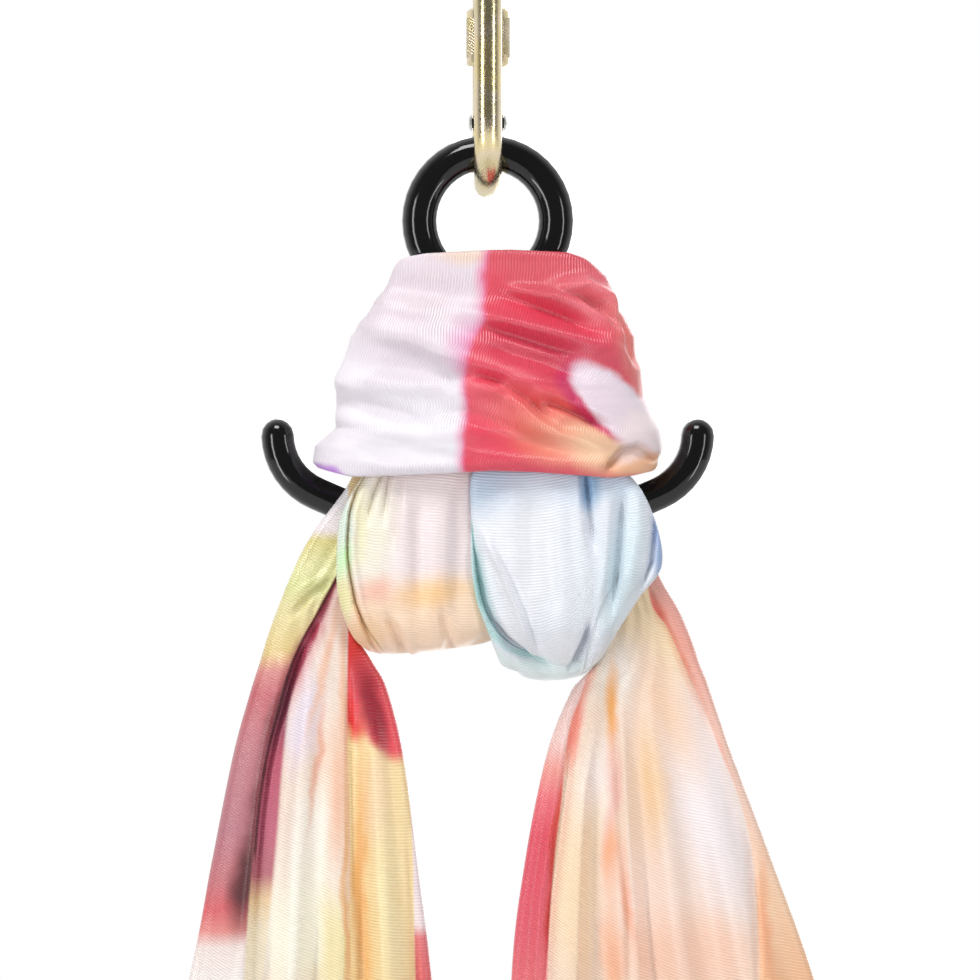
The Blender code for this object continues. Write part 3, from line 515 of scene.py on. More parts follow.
LEFT_LOBE_POOLS = [
    (430, 530, 44, 60, 0, 0.8, "#f5e6e8"), (376, 530, 20, 62, 6, 0.8, "#f8f2e0"),
    (362, 520, 7, 44, 6, 0.8, "#f6f0cc"), (440, 656, 150, 78, 0, 0.2, "#ffdfc2"),
    (434, 592, 26, 10, 0, 0.9, "#fbcd98"), (380, 588, 16, 12, 0, 0.9, "#f8c4b0"),
    # The pale green pool at (343, 556) is lightened as painted light, where the lobe's edge lies in shade.
    (343, 556, 8, 24, 0, 0.8, "#dcffcc"), (345, 520, 9, 26, 12, 0.7, "#e4f2e4"),
    (345, 596, 9, 22, 0, 0.7, "#f2eab0"), (362, 634, 24, 16, -20, 0.7, "#f6cba0"),
]
ROLL_LINE = [
    (372, 465), (364, 480), (357, 493), (351, 513), (349, 537), (349, 556), (352, 578), (357, 602),
    (364, 619), (375, 637), (388, 656),
]
CRESCENT_LINE = [
    (471, 515), (474, 545), (478, 575), (483, 600), (491, 620), (505, 638), (527, 651), (552, 660),
]
RIGHT_LOBE_POOLS = [
    # The darker blue pool at (588, 488) is painted shade in a groove of the cloth.
    (540, 466, 150, 42, -3, 0.45, "#c8dff5"), (588, 488, 9, 24, 0, 0.7, "#93bce0"),
    (512, 482, 30, 12, 0, 0.8, "#b2d0ec"), (530, 560, 44, 80, 0, 0.8, "#f0f1f8"),
    (472, 590, 18, 76, -12, 0.6, "#d8ebee"), (540, 678, 84, 22, 0, 0.5, "#e6f3f5"),
    (479, 590, 5, 30, -10, 0.8, "#b0dad8"), (497, 630, 4, 18, -36, 0.8, "#bcdfde"),
    (526, 651, 20, 4, 22, 0.8, "#c0e2e2"), (500, 655, 16, 5, 40, 0.8, "#e6f4f4"),
    (622, 575, 14, 64, 8, 0.7, "#d8e8f0"), (658, 540, 7, 54, 0, 0.6, "#9db3da"),
]


def band_dye_with_painted_light(tree):
    """Lavender white on the left, reds on the right behind a thin magenta rim, a white pool, and a pool of
    painted light on the red where a fold shades it. Behind the neck it runs into the lobes' colours."""
    at = wet(tree)
    colour = mix(tree, beyond(tree, BAND_RIM, 8, at), pools(tree, at, "#e4dae4", BAND_LEFT), "#e678a4")
    colour = mix(tree, beyond(tree, BAND_EDGE, 4, at), colour, pools(tree, at, "#e23a54", BAND_RIGHT))
    place = axes(tree, at)
    near = ranged(tree, maths(tree, "ABSOLUTE", place["X"]), 48 * MM, 31 * MM)
    share = maths(tree, "MULTIPLY", near, ranged(tree, place["Y"], 0, 8 * MM))
    ends = mix(tree, beyond(tree, [(488, 240), (488, 480)], 20, at), "#f4e4e6", "#cddef2")
    return mix(tree, share, colour, ends)


def left_lobe_dye_with_painted_light_and_shade(tree):
    """Pale pink over peach, with yellow and green along the outer edge, painted shade along the outer roll's
    fold line, and painted light on the green where the lobe's edge lies in shade.
    """
    return painted_crease_shade(tree, pools(tree, wet(tree), "#f5e3e2", LEFT_LOBE_POOLS), ROLL_LINE, 1.3, "#ae8c4c")


def right_lobe_dye_with_painted_shade(tree):
    """Sky blue above, lavender white, and mint along the edges, with painted shade in a groove of the blue
    and along the crescent's fold line.
    """
    return painted_crease_shade(tree, pools(tree, wet(tree), "#e7ecf5", RIGHT_LOBE_POOLS), CRESCENT_LINE, 2.2, "#86b4b6")


# %% The tails' dyes, with painted shade and light
# A tail is folded over itself, so each fold's edge parts two stretches of the dye.
LEFT_EDGE = [
    (358, 480), (347, 556), (339, 572), (320, 608), (299, 646), (288, 674), (280, 702), (264, 768),
    (254, 861), (245, 990),
]
LEFT_SECOND = [
    (362, 480), (349, 560), (338, 584), (328, 608), (314, 643), (300, 674), (291, 702), (284, 757),
    (277, 844), (262, 990),
]
LEFT_STRIP = [
    # The white at 480 is painted light, where the band shades the tail's top.
    (480, "#ffffff"), (530, "#f8eaec"), (540, "#e2d58c"), (566, "#efebb0"), (585, "#dfe09c"),
    (606, "#ede2a8"), (650, "#e8cc8c"), (668, "#d98a84"), (690, "#c8646c"), (740, "#c67a82"),
    (830, "#be7884"), (880, "#cc767c"), (908, "#e0646a"), (930, "#ea908a"), (946, "#f8e6e0"),
    (990, "#faf2ee"),
]
# Painted shade on the outer fold beside its edge, partly its own maroon dye: dark maroon pools and a
# yellow-brown line near its top.
LEFT_PAINTED_SHADE = [
    (318, 622, 3, 44, 30, 0.9, "#b09058"), (284, 694, 7, 52, 20, 0.9, "#8a2a34"),
    (261, 795, 9, 84, 11, 0.9, "#741c28"), (242, 884, 13, 42, 8, 0.7, "#5a161e"),
]
LEFT_UNDER = [
    (480, "#c9a0a8"), (590, "#b44058"), (640, "#bb445c"), (700, "#8c3c54"), (760, "#c85a72"),
    # From 905 down the strip is paler as painted light, where the outer fold shades it.
    (830, "#cc6680"), (880, "#c4707c"), (905, "#f6d6aa"), (935, "#fff0d4"), (990, "#fff4dc"),
]
LEFT_POOLS = [
    (330, 600, 36, 70, 22, 0.7, "#f4dcd2"), (314, 646, 10, 56, 25, 0.7, "#e08c92"),
    (334, 690, 22, 70, 8, 0.8, "#f7e6da"), (306, 720, 14, 44, 12, 0.7, "#f0e2ee"),
    # The pale pools at (308, 840) and (300, 930) are lighter as painted light, where folds shade the cloth.
    (338, 780, 24, 60, 4, 0.8, "#f6cfb4"), (308, 840, 22, 60, 6, 0.7, "#fff6ea"),
    (300, 930, 40, 66, 4, 0.6, "#fffaea"), (336, 950, 16, 50, 0, 0.7, "#f4e4b0"),
    # Thin warm streaks along the folds: partly dye, partly painted shade.
    (328, 664, 4, 56, 16, 0.9, "#f4c8b0"), (345, 700, 4, 70, 2, 0.9, "#f2c2a4"),
    (316, 760, 3, 50, 8, 0.9, "#f0b8a0"), (336, 800, 7, 46, 3, 0.9, "#f5c4a8"),
    (346, 900, 3, 90, 0, 0.9, "#f0c090"),
]
LEFT_FAR = [(349, 480), (349, 600), (348, 700), (350, 800), (351, 900), (351, 990)]
LEFT_RED = [
    (356, 674, 15, 66, 0, 0.2, "#e8302c"), (386, 706, 32, 56, -18, 0.2, "#f0505c"),
    # The dark crimson pool at (373, 712) is painted shade in a groove, on the red dye.
    (373, 712, 11, 44, -14, 0.6, "#a00828"), (376, 804, 14, 44, 0, 0.5, "#fcdcb0"),
    # The orange stripe at (361, 890) lies in a fold's valley: partly dye, partly painted shade. The pale pool
    # at (394, 920) is painted light where a fold shades the yellow.
    (361, 890, 7, 110, 0, 0.9, "#f2b468"), (394, 920, 10, 80, -4, 0.9, "#ffeeba"),
]
LEFT_BACK = [(401, 700), (405, 760), (410, 800), (413, 850), (414, 900), (416, 990)]
LEFT_HEM = [(700, "#f2e0e2"), (920, "#f3e2e4"), (936, "#e4787c"), (990, "#e25a5c")]
RIGHT_EDGE = [
    (590, 660), (582, 690), (568, 732), (564, 764), (561, 800), (555, 850), (550, 910), (546, 990),
]
RIGHT_STRIP = [
    (660, "#f8d2cc"), (735, "#f8d2cc"), (765, "#f49f96"), (800, "#ee6c78"), (840, "#e54c62"),
    (930, "#e65a6c"), (990, "#ea7078"),
]
RIGHT_INSIDE = [(557, 800, 4, 44, 8, 0.8, "#ee4c40"), (549, 900, 4, 80, 4, 0.8, "#cc1418")]
# Painted light: the pale peach at (650, 620) and (620, 670) under the right lobe's shadow, and the pale pools
# at (592, 790) and (588, 900) in shaded folds. The thin orange and pink pools near x 610 to 630 lie beside a
# groove: partly dye, partly painted shade.
RIGHT_POOLS = [
    (650, 620, 60, 60, -20, 0.7, "#ffe6bc"), (620, 670, 26, 30, 0, 0.8, "#fdf0e6"),
    (573, 714, 10, 46, 15, 0.6, "#f58c7a"), (610, 712, 5, 42, 0, 0.8, "#fcb468"),
    (650, 730, 22, 50, -6, 0.8, "#f9dccc"), (592, 790, 16, 44, 8, 0.7, "#fff0ea"),
    (612, 790, 7, 44, 0, 0.9, "#f2c0b4"), (572, 890, 20, 80, 4, 0.7, "#fdddb8"),
    (588, 900, 10, 80, 4, 0.8, "#ffe2c0"), (615, 858, 8, 28, 0, 0.8, "#fa9c60"),
    (615, 938, 10, 56, 0, 0.9, "#f6ac82"), (650, 900, 40, 50, -8, 0.8, "#fde2d4"),
    (630, 906, 5, 46, -4, 0.9, "#f8b496"), (706, 810, 34, 110, -12, 0.7, "#f6eaec"),
    (664, 700, 20, 60, -20, 0.9, "#f9d4b8"), (650, 780, 12, 50, -4, 0.9, "#fad2a8"),
    (690, 955, 60, 36, 0, 0.8, "#fbd2bc"),
]
RIGHT_FAR = [
    (650, 560), (648, 590), (667, 628), (684, 666), (704, 711), (721, 754), (738, 797), (750, 846),
    (756, 917), (758, 990),
]
RIGHT_BACK = [
    (560, "#f2b0a4"), (640, "#f2a898"), (720, "#f4c4b4"), (800, "#f7d2c0"), (900, "#f8cfac"),
    (990, "#f6bc90"),
]
# Coral and orange lines along the outer layer's folded edge: painted shade, partly that layer's coral dye.
RIGHT_PAINTED_SHADE = [
    (664, 626, 4, 46, -28, 0.9, "#ea6c5a"), (700, 700, 3, 60, -22, 0.9, "#f2a290"),
    (760, 930, 6, 60, -4, 0.9, "#f6b084"),
]
FALL = [
    ("#fbd3ae", 3.1, 0.44), ("#fbe2a4", 11.7, 0.50), ("#f6ae98", 23.3, 0.53), ("#ecd0e2", 37.9, 0.53),
    ("#ea6272", 51.3, 0.62), ("#c4def4", 67.7, 0.58), ("#e6ecae", 83.1, 0.60),
]


def left_tail_dye_with_painted_light_and_shade(tree):
    """The outer fold, the shaded strip it lies on, the pale middle and the red and yellow inner part, with
    painted shade along the outer fold's edge and in its grooves, and painted light where the band and the
    folds shade the cloth.
    """
    at = wet(tree)
    outer = pools(tree, at, bands(tree, at, LEFT_STRIP), LEFT_PAINTED_SHADE)
    colour = mix(tree, beyond(tree, LEFT_EDGE), outer, bands(tree, at, LEFT_UNDER))
    colour = mix(tree, beyond(tree, LEFT_SECOND, 2.5), colour, pools(tree, at, "#f6dfd0", LEFT_POOLS))
    colour = mix(tree, beyond(tree, LEFT_FAR, 1.2), colour, pools(tree, at, "#fbe0a8", LEFT_RED))
    colour = mix(tree, beyond(tree, LEFT_BACK, 1.2), colour, bands(tree, at, LEFT_HEM))
    colour = painted_crease_shade(tree, colour, [(px + 1.5, py) for px, py in LEFT_EDGE[1:-1]], 2.4, "#4c141c")
    return fall(tree, colour, FALL)


def right_tail_dye_with_painted_light_and_shade(tree):
    """The red inner fold, the peach and lavender middle, and the coral layer along the outer edge, with
    painted shade along that layer's edge and beside a groove, and painted light under the right lobe and in
    shaded folds.
    """
    at = wet(tree)
    inner = pools(tree, at, bands(tree, at, RIGHT_STRIP), RIGHT_INSIDE)
    outer = pools(tree, at, bands(tree, at, RIGHT_BACK), RIGHT_PAINTED_SHADE)
    colour = mix(tree, beyond(tree, RIGHT_EDGE), inner, pools(tree, at, "#f7dcc8", RIGHT_POOLS))
    colour = mix(tree, beyond(tree, RIGHT_FAR), colour, outer)
    return fall(tree, colour, FALL)


# Each part's colour: its dye, with painted shade and light laid on it.
dyes = {
    "band": band_dye_with_painted_light,
    "left_lobe": left_lobe_dye_with_painted_light_and_shade,
    "right_lobe": right_lobe_dye_with_painted_shade,
    "left_tail": left_tail_dye_with_painted_light_and_shade,
    "right_tail": right_tail_dye_with_painted_light_and_shade,
}
silk = {part: tricot("satin_tricot_" + part, dye) for part, dye in dyes.items()}
print("cloth finishes:", len(silk), "with", sum(len(m.node_tree.nodes) for m in silk.values()), "nodes")

# %% [markdown]
# ## How the folds are made
# Gathered cloth is a closed roll here: a flat grid, rolled round a flattened section and swept along a path.
# A cloth simulation could gather it too, but the folds would fall by chance, and these have known places. So
# each fold is a line in the picture with a height and a width on either side, a sharp lip where the widths
# differ, and the grid's points move out along the surface by the sum of them.


# %% Folds as lines with a height
def ease(t):
    """0 below 0 and 1 above 1, with a smooth step between."""
    t = np.clip(t, 0.0, 1.0)
    return t * t * (3 - 2 * t)


def flow(keys, at):
    """The rows of numbers on a smooth curve through the rows of keys, at places counted in rows."""
    keys = np.array(keys, float)
    last = len(keys) - 1
    i = np.clip(np.floor(at).astype(int), 0, last - 1)
    t = (at - i)[:, None]
    p, q, r, s = (keys[np.clip(i + k, 0, last)] for k in (-1, 0, 1, 2))
    return q + 0.5 * t * (r - p + t * (2 * p - 5 * q + 4 * r - s + t * (3 * (q - r) + s - p)))


def folds(x, z, lines):
    """How far the cloth stands out in metres. Each line: its height and its widths left and right in mm,
    then its places in the photograph."""
    total = np.zeros_like(x)
    for height, left, right, *places in lines:
        line = [Vector(seen(*p)) for p in places]
        lengths = [(b - a).length for a, b in zip(line, line[1:])]
        whole = sum(lengths)
        nearest = np.full_like(x, 9.0)
        share = np.zeros_like(x)
        sign = np.ones_like(x)
        gone = 0.0
        for a, b, length in zip(line, line[1:], lengths):
            way = (b - a) / length
            along = (x - a.x) * way.x + (z - a.y) * way.y
            held = np.clip(along, 0, length)
            off = np.hypot(x - a.x - held * way.x, z - a.y - held * way.y)
            closer = off < nearest
            nearest = np.where(closer, off, nearest)
            share = np.where(closer, (gone + held) / whole, share)
            sign = np.where(closer, way.x * (z - a.y) - way.y * (x - a.x), sign)
            gone += length
        width = np.where(sign > 0, left, right) * MM
        fade = ease(share / 0.3) * ease((1 - share) / 0.3)
        total += height * MM * np.exp(-((nearest / width) ** 2)) * fade
    return total


def pleats(q, along, depth, count, drift=0.5):
    """Soft gathered pleats across a width q from -1 to 1, which drift along the cloth."""
    wave = np.sin(count * q + drift * along) + 0.5 * np.sin(1.9 * count * q - 1.3 * drift * along + 1.0)
    return depth * wave * (1 - q**4)


# %% Rolls of cloth from a flat grid
FRONT_SHARE = 0.75  # of a roll's columns are on its front


def section(u, aspect=5.0):
    """The places across and out on a flattened round section."""
    turn = np.linspace(0, math.pi, 1501)
    reach = (np.cos(turn) ** 4 + np.sin(turn) ** 4) ** -0.25
    across, out = np.cos(turn) * reach, np.sin(turn) * reach
    length = np.concatenate([[0], np.cumsum(np.hypot(np.diff(across) * aspect, np.diff(out)))])
    length /= length[-1]
    front = u <= FRONT_SHARE
    part = np.where(front, u / FRONT_SHARE, (u - FRONT_SHARE) / (1 - FRONT_SHARE))
    q = np.interp(part, length, across)
    e = np.interp(part, length, out)
    return np.where(front, q, -q), np.where(front, e, -e)


SEAM = 0.01 * MM  # a seam's points closer than this are one


def cloth_piece(name, columns, rows, place, width, material, roll=True, slant=0.0):
    """A grid of cloth with its points moved by place(u, v), its rolled seam closed, and its UV map in metres.
    The map's length is measured along each lane of the grid, so the ribs run across the folds, and a slant
    lets them sink to the right."""
    bm = bmesh.new()
    uv = bm.loops.layers.uv.new("UVMap")
    bmesh.ops.create_grid(bm, x_segments=columns, y_segments=rows, size=0.5, calc_uvs=True)
    bm.verts.index_update()
    flat = np.array([v.co[:2] for v in bm.verts]) + 0.5
    moved = place(flat[:, 0], flat[:, 1])
    order = np.lexsort((flat[:, 1].round(6), flat[:, 0].round(6)))
    lanes = moved[order].reshape(columns + 1, rows + 1, 3)
    steps = np.linalg.norm(np.diff(lanes, axis=1), axis=2)
    along = np.concatenate([np.zeros((columns + 1, 1)), np.cumsum(steps, axis=1)], axis=1)
    length = np.empty(len(flat))
    length[order] = along.ravel()
    for vertex, point in zip(bm.verts, moved):
        vertex.co = point
    for face in bm.faces:
        for loop in face.loops:
            loop[uv].uv = (loop[uv].uv[0] * width, length[loop.vert.index] - slant * loop.vert.co.x)
    if roll:
        bmesh.ops.remove_doubles(bm, verts=bm.verts, dist=SEAM)
        ends = [e for e in bm.edges if e.is_boundary]
        bmesh.ops.holes_fill(bm, edges=ends, sides=0)
    bmesh.ops.recalc_face_normals(bm, faces=bm.faces)
    made = meshed(name, bm, material)
    print(name, len(made.data.polygons), "faces")
    return made


# %% [markdown]
# ## The band round the neck
# The middle of the cloth crosses the front of the eight's neck, goes round both sides and ends behind. It
# is a wide roll on a squarish path, pulled tight from upper left to lower right, so its folds run long and
# slanting across the right half, and the left half is nearly smooth.

# %% The band's shape and folds
# Up the band, as a share of its height: how far it lies outside the ring's sides on the left and the right,
# ahead of the ring's face and behind it, all in mm, and how square its path is in front.
BAND_ROWS = np.array([
    (-0.05, 13.5, 14.8, 26.2, 13, 4),
    (0, 18.4, 17, 26, 13, 4),
    (0.07, 19.6, 17.8, 24.6, 13, 3.8),
    (0.14, 17.6, 18, 23, 13, 3.5),
    (0.22, 10.4, 16.4, 21, 13, 3.2),
    (0.35, 9.4, 10.2, 18.2, 13, 3),
    (0.49, 7.4, 9, 15.4, 12.4, 2.8),
    (0.62, 3.4, 7.2, 12.4, 11.6, 2.8),
    (0.75, -6.4, 1.4, 9.4, 10.6, 3),
    (0.88, -9.4, -2.4, 7.2, 9.4, 3.6),
    (0.95, -11, -7.6, 5.6, 8.8, 4.2),
    (1, -14, -12.4, 5.2, 8.6, 5),
])
BAND_END = 153  # degrees round to each end behind the neck
BAND_HIND = 2.4  # how square its path is behind
BAND_GAIN = 1.9  # its folds stand out this much more than their heights say
BAND_TOP_PY, BAND_LOW_PY = 249.6, 478.4  # the photograph's heights of the two levels
BAND_TOP_HALF, BAND_LOW_HALF = 98, 171  # pixels from the middle to the sides there
# How the edges leave their levels on the way round: by how many mm, from how many degrees, over how many.
BAND_TOP_SINKS = [(8.0, 55, 40), (48.0, 95, 60)]
BAND_LOW_RISES = [(3.0, 62, 26), (9.0, 110, 45)]
# The two edges in the photograph.
BAND_UPPER = [
    (393, 262), (403, 257), (420, 254), (444, 253), (484, 251), (513, 250.5), (549, 252), (569, 253),
    (582, 258), (590, 263),
]
BAND_LOWER = [
    (314, 466), (330, 471), (352, 477), (407, 475.5), (467, 472.5), (490, 471), (538, 472.5), (586, 476),
    (610, 478), (633, 476), (660, 470),
]
BAND_FOLDS = [
    (2.8, 8, 4, (300, 322), (338, 332), (415, 343), (459, 358), (500, 371), (530, 384), (546, 400),
     (562, 413), (600, 420), (660, 440)),
    (3, 3, 5, (440, 380), (479, 386), (505, 389), (523, 404), (536, 424), (556, 437), (594, 445),
     (630, 452)),
    (-2.6, 2.4, 2.4, (470, 372), (500, 384), (525, 400), (540, 414), (556, 424)),
    (-3.4, 1.6, 2.4, (530, 396), (556, 406), (580, 416), (612, 430)),
    (2.6, 4, 5, (440, 306), (490, 319), (550, 334), (598, 347), (650, 376)),
    (-2.2, 3, 2.4, (470, 322), (500, 332), (540, 344), (590, 360)),
    (-2, 3, 2.4, (480, 344), (514, 356), (555, 367), (590, 380)),
    (2.6, 2.4, 5, (490, 290), (519, 293), (546, 297), (576, 307), (600, 321), (630, 356)),
    (-1.8, 3, 2.4, (484, 292), (525, 303), (565, 318), (600, 338)),
    (2.8, 2.4, 3, (536, 292), (566, 286), (582, 284), (602, 296), (617, 319), (628, 350)),
    (-1.4, 2.5, 2.5, (575, 296), (594, 303), (606, 318), (614, 336)),
    (-2.8, 1.6, 2, (608, 290), (617, 312), (628, 340), (638, 372)),
    (-1.8, 4, 3.5, (420, 404), (476, 421), (514, 436), (562, 450), (600, 458)),
    (2, 4.5, 3.5, (400, 440), (462, 450), (514, 458), (600, 467), (660, 468)),
    (-1.6, 4, 4, (312, 390), (343, 402), (379, 414), (440, 428)),
    (1.4, 5, 5, (312, 378), (343, 382), (405, 383), (460, 386)),
    (-1.4, 4, 4, (370, 366), (430, 376), (475, 384)),
    (-1.4, 4, 4, (310, 424), (343, 435), (380, 444), (430, 450)),
    (-1.2, 5, 5, (370, 284), (430, 292), (485, 298)),
    (1.2, 5, 4, (350, 300), (400, 306), (450, 318)),
    (-1.4, 4, 4, (330, 326), (360, 336), (420, 352), (450, 362)),
    (-3.4, 1.5, 2.2, (596, 474), (610, 464), (622, 453), (638, 449), (668, 462)),
    (1.6, 3, 3, (340, 460), (400, 468), (470, 466), (540, 468)),
]


def stepped(at, rises):
    """The sum in metres of smooth steps. Each: its rise in mm, where it begins, how long it is."""
    return sum(rise * ease((at - start) / span) for rise, start, span in rises) * MM


def band_edge(turn, half, line):
    """How far an edge of the band is from its level in front, from the line that the photograph shows."""
    across = np.sin(turn) / (np.sin(turn) ** 4 + np.cos(turn) ** 4) ** 0.25
    places = MIDDLE_PX + half * across
    front = ease((np.cos(turn) + 0.9) / 0.9)
    return np.interp(places, *np.array(line, float).T) * front


def band_place(u, v):
    """The band's points: v goes round the neck, u round the section."""
    q, e = section(u)
    turn = np.radians(BAND_END) * (2 * v - 1)
    upper = [(px, (BAND_TOP_PY - py) * PIXEL) for px, py in BAND_UPPER]
    lower = [(px, (BAND_LOW_PY - py) * PIXEL) for px, py in BAND_LOWER]
    base_turn = np.degrees(np.arctan(np.abs(np.tan(turn)) ** 1.3))
    away = np.where(np.abs(turn) > math.pi / 2, 180 - base_turn, base_turn)
    top = BAND_TOP - stepped(away, BAND_TOP_SINKS) + band_edge(turn, BAND_TOP_HALF, upper)
    low = BAND_LOW + stepped(away, BAND_LOW_RISES) + band_edge(turn, BAND_LOW_HALF, lower)
    z = low + (top - low) * (q + 1) / 2
    share = (z - BAND_LOW) / (BAND_TOP - BAND_LOW)
    shares, *columns = BAND_ROWS.T
    left, right, front, back, power = (np.interp(share, shares, column) for column in columns)
    wide = RING_SIDE + np.where(turn < 0, left, right) * MM
    in_front = np.abs(turn) < math.pi / 2
    deep = FACE + np.where(in_front, front, back) * MM
    power = np.where(in_front, power, BAND_HIND)
    reach = (np.abs(np.sin(turn)) ** power + np.abs(np.cos(turn)) ** power) ** (-1 / power)
    across, ahead = np.sin(turn) * reach, np.cos(turn) * reach
    # The roll is 5 mm thick in front, up to 9 low at the sides, and 5 more behind.
    thick = 5.0 + 4.0 * ease((away - 50) / 40) * (1 - ease(1.2 * share)) + 5.0 * ease((away - 110) / 45)
    inset = thick / 2 * (1 - e) * MM
    # The photograph's folds belong to the front and the pleats to the back. Neither goes through the roll.
    lift = BAND_GAIN * folds(across * wide, z, BAND_FOLDS) * np.clip(e, 0, 1) * ease((100 - away) / 20)
    lift += pleats(q, 4 * turn, 0.5 * MM, 7) * np.clip(e, 0, 1) * ease((away - 70) / 40)
    inset = inset - np.maximum(lift, -0.45 * thick * MM)
    return np.stack([across * (wide - inset), -ahead * (deep - inset), z], axis=1)


band = cloth_piece("band_round_neck", 200, 300, band_place, 0.2, silk["band"])
front_band = dress(band, "front_band")

# %% [markdown]
# ## The lobes
# From the front of the large ring each half of the cloth comes down, turns under the bottom bar and goes up
# behind it. Each is a roll along that path, with the widths and the folds that the picture shows in front.

# %% The lobes' sections and folds
# Each section: its height from the ring's middle or lowest bar, how far it is ahead of the ring's face, its
# outer edge from the ring's side, its inner edge from the middle, half its thickness, how far its edges bow
# back and how far it slants. All in mm.
LEFT_LOBE = [
    ("mid", 11.6, 12.4, -9.4, 1.6, 4.4, 0, 0),
    ("mid", 2, 15, -0.4, 4.4, 4.6, 1.5, 0),
    ("mid", -13, 15.8, 7.2, 4.2, 5, 2, 0),
    ("mid", -33, 15.8, 8.6, 4, 5, 2, 0),
    ("low", 7, 15.4, 7.2, 2.6, 5, 1.5, 0),
    ("low", -1.6, 12.4, 3.4, -0.6, 4.6, 1, 0.8),
    ("low", -5, 4, -2.2, -2.5, 4, 0.5, 2.2),
    ("low", -5, -6.8, -5, -2, 4, 0.5, 2.2),
    ("low", -2, -17, -6, 2, 5, 1.5, 0.5),
    ("low", 11, -20.6, -8, 2, 5, 2, 0),
    ("mid", -24, -19.6, -11, 2, 5, 0, 0),
]
RIGHT_LOBE = [
    ("mid", 11.6, 12.4, -9.4, 1.6, 4.4, 0, 0),
    ("mid", 2, 15, 6, -3.6, 4.6, 1.5, 0),
    ("mid", -13, 16, 14.2, -3.8, 5, 2, 0),
    ("mid", -30, 16.4, 16.8, -3.6, 5, 2, 0),
    ("low", 10, 15.8, 8.4, -1.8, 5.2, 2.5, 0),
    ("low", -1, 14, 1.6, 2.2, 5.2, 3, 0),
    ("low", -11, 6, -3.4, 7, 5.2, 3, -1.5),
    ("low", -15.4, -6.8, -5.5, 11, 5, 2.5, -1.5),
    ("low", -11, -17, -6, 8, 5, 2, 0),
    ("low", 2, -20.6, -7, 2, 5, 2, 0),
    ("low", 14, -20.6, -9, 2, 5, 1.5, 0),
    ("mid", -24, -19.6, -11, 2, 5, 0, 0),
]
LEFT_LOBE_FOLDS = [
    (-4.5, 0.8, 0.8, (380, 452), *ROLL_LINE),
    (1.4, 3, 3, (362, 470), (346, 510), (342, 560), (346, 606), (362, 642)),
    (1.8, 1.4, 5, (382, 452), *((px + 6, py) for px, py in ROLL_LINE)),
    (-3, 0.9, 1.4, (388, 455), (383, 478), (375, 495), (371, 512), (369, 530)),
    (-2.4, 1, 1.4, (396, 455), (390, 480), (387, 500), (384, 530)),
    (-1.6, 1.2, 2, (404, 455), (402, 480), (398, 520), (394, 560)),
    (1.6, 4, 4, (398, 470), (404, 515), (406, 560), (404, 620)),
    (1.4, 5, 5, (442, 490), (440, 570), (436, 615), (434, 660)),
    (-1.8, 3, 3, (418, 480), (420, 550), (421, 620)),
    (-2.6, 1.4, 1.8, (384, 606), (392, 620), (401, 636), (412, 655)),
    (1.4, 2, 2, (398, 606), (410, 630), (420, 655)),
    (-1.4, 3, 3, (456, 480), (458, 540), (456, 630)),
    (-2, 1.8, 1.8, (440, 600), (446, 620), (450, 640), (452, 660)),
]
RIGHT_LOBE_FOLDS = [
    (-7.5, 1.9, 1, *CRESCENT_LINE, (590, 660)),
    (2.4, 3, 2.4, (466, 510), (468, 560), (472, 600), (484, 634), (503, 658), (540, 672), (590, 672)),
    (3.8, 3.5, 1.4, (478, 520), (489, 545), (503, 572), (516, 603), (530, 638), (544, 662)),
    (-3.2, 1.6, 1.4, (486, 530), (498, 552), (511, 580), (524, 612), (536, 640), (548, 662)),
    (-1.8, 0.8, 0.8, (486, 636), (504, 655), (536, 664), (590, 666)),
    (-4, 1.3, 2, (582, 455), (585, 478), (587, 500), (590, 528), (594, 560)),
    (1.8, 3.5, 3, (576, 460), (578, 500), (582, 560), (588, 620)),
    (1.6, 4, 4, (556, 470), (560, 540), (564, 600), (566, 650)),
    (-5, 1, 2.8, (624, 480), (621, 515), (619, 547), (616, 580), (608, 620)),
    (2.4, 3, 3, (632, 470), (637, 500), (637, 530), (631, 565), (620, 610)),
    (1.8, 3, 1.4, (606, 480), (606, 520), (604, 560), (596, 620)),
    (-5.5, 0.9, 1.2, (640, 478), (649, 500), (653, 530), (650, 562), (636, 596)),
    (-5.5, 1, 1.8, (556, 680), (566, 666), (575, 652), (583, 636), (590, 612)),
    (2.6, 3, 3, (576, 676), (588, 658), (599, 640), (606, 612)),
    (-1.4, 4, 4, (535, 480), (530, 540), (534, 600)),
    (1.4, 5, 5, (508, 470), (512, 530), (522, 590)),
    (-1.2, 3, 3, (546, 500), (548, 560), (552, 620)),
]


PAST_BAR = 6 * MM  # beyond the bar's face, where a lobe is all in front of it or all behind it
NEAR = 0.05  # sections, for the path's direction at a place


def lobe_keys(rows):
    """The sections in metres: y, z, the outer and inner edges from the middle, and the other sizes."""
    anchors = {"mid": EIGHT_Z, "low": RING_LOW}
    return [
        (-FACE - front * MM, anchors[anchor] + high * MM, RING_SIDE + outer * MM, *(s * MM for s in rest))
        for anchor, high, front, outer, *rest in rows
    ]


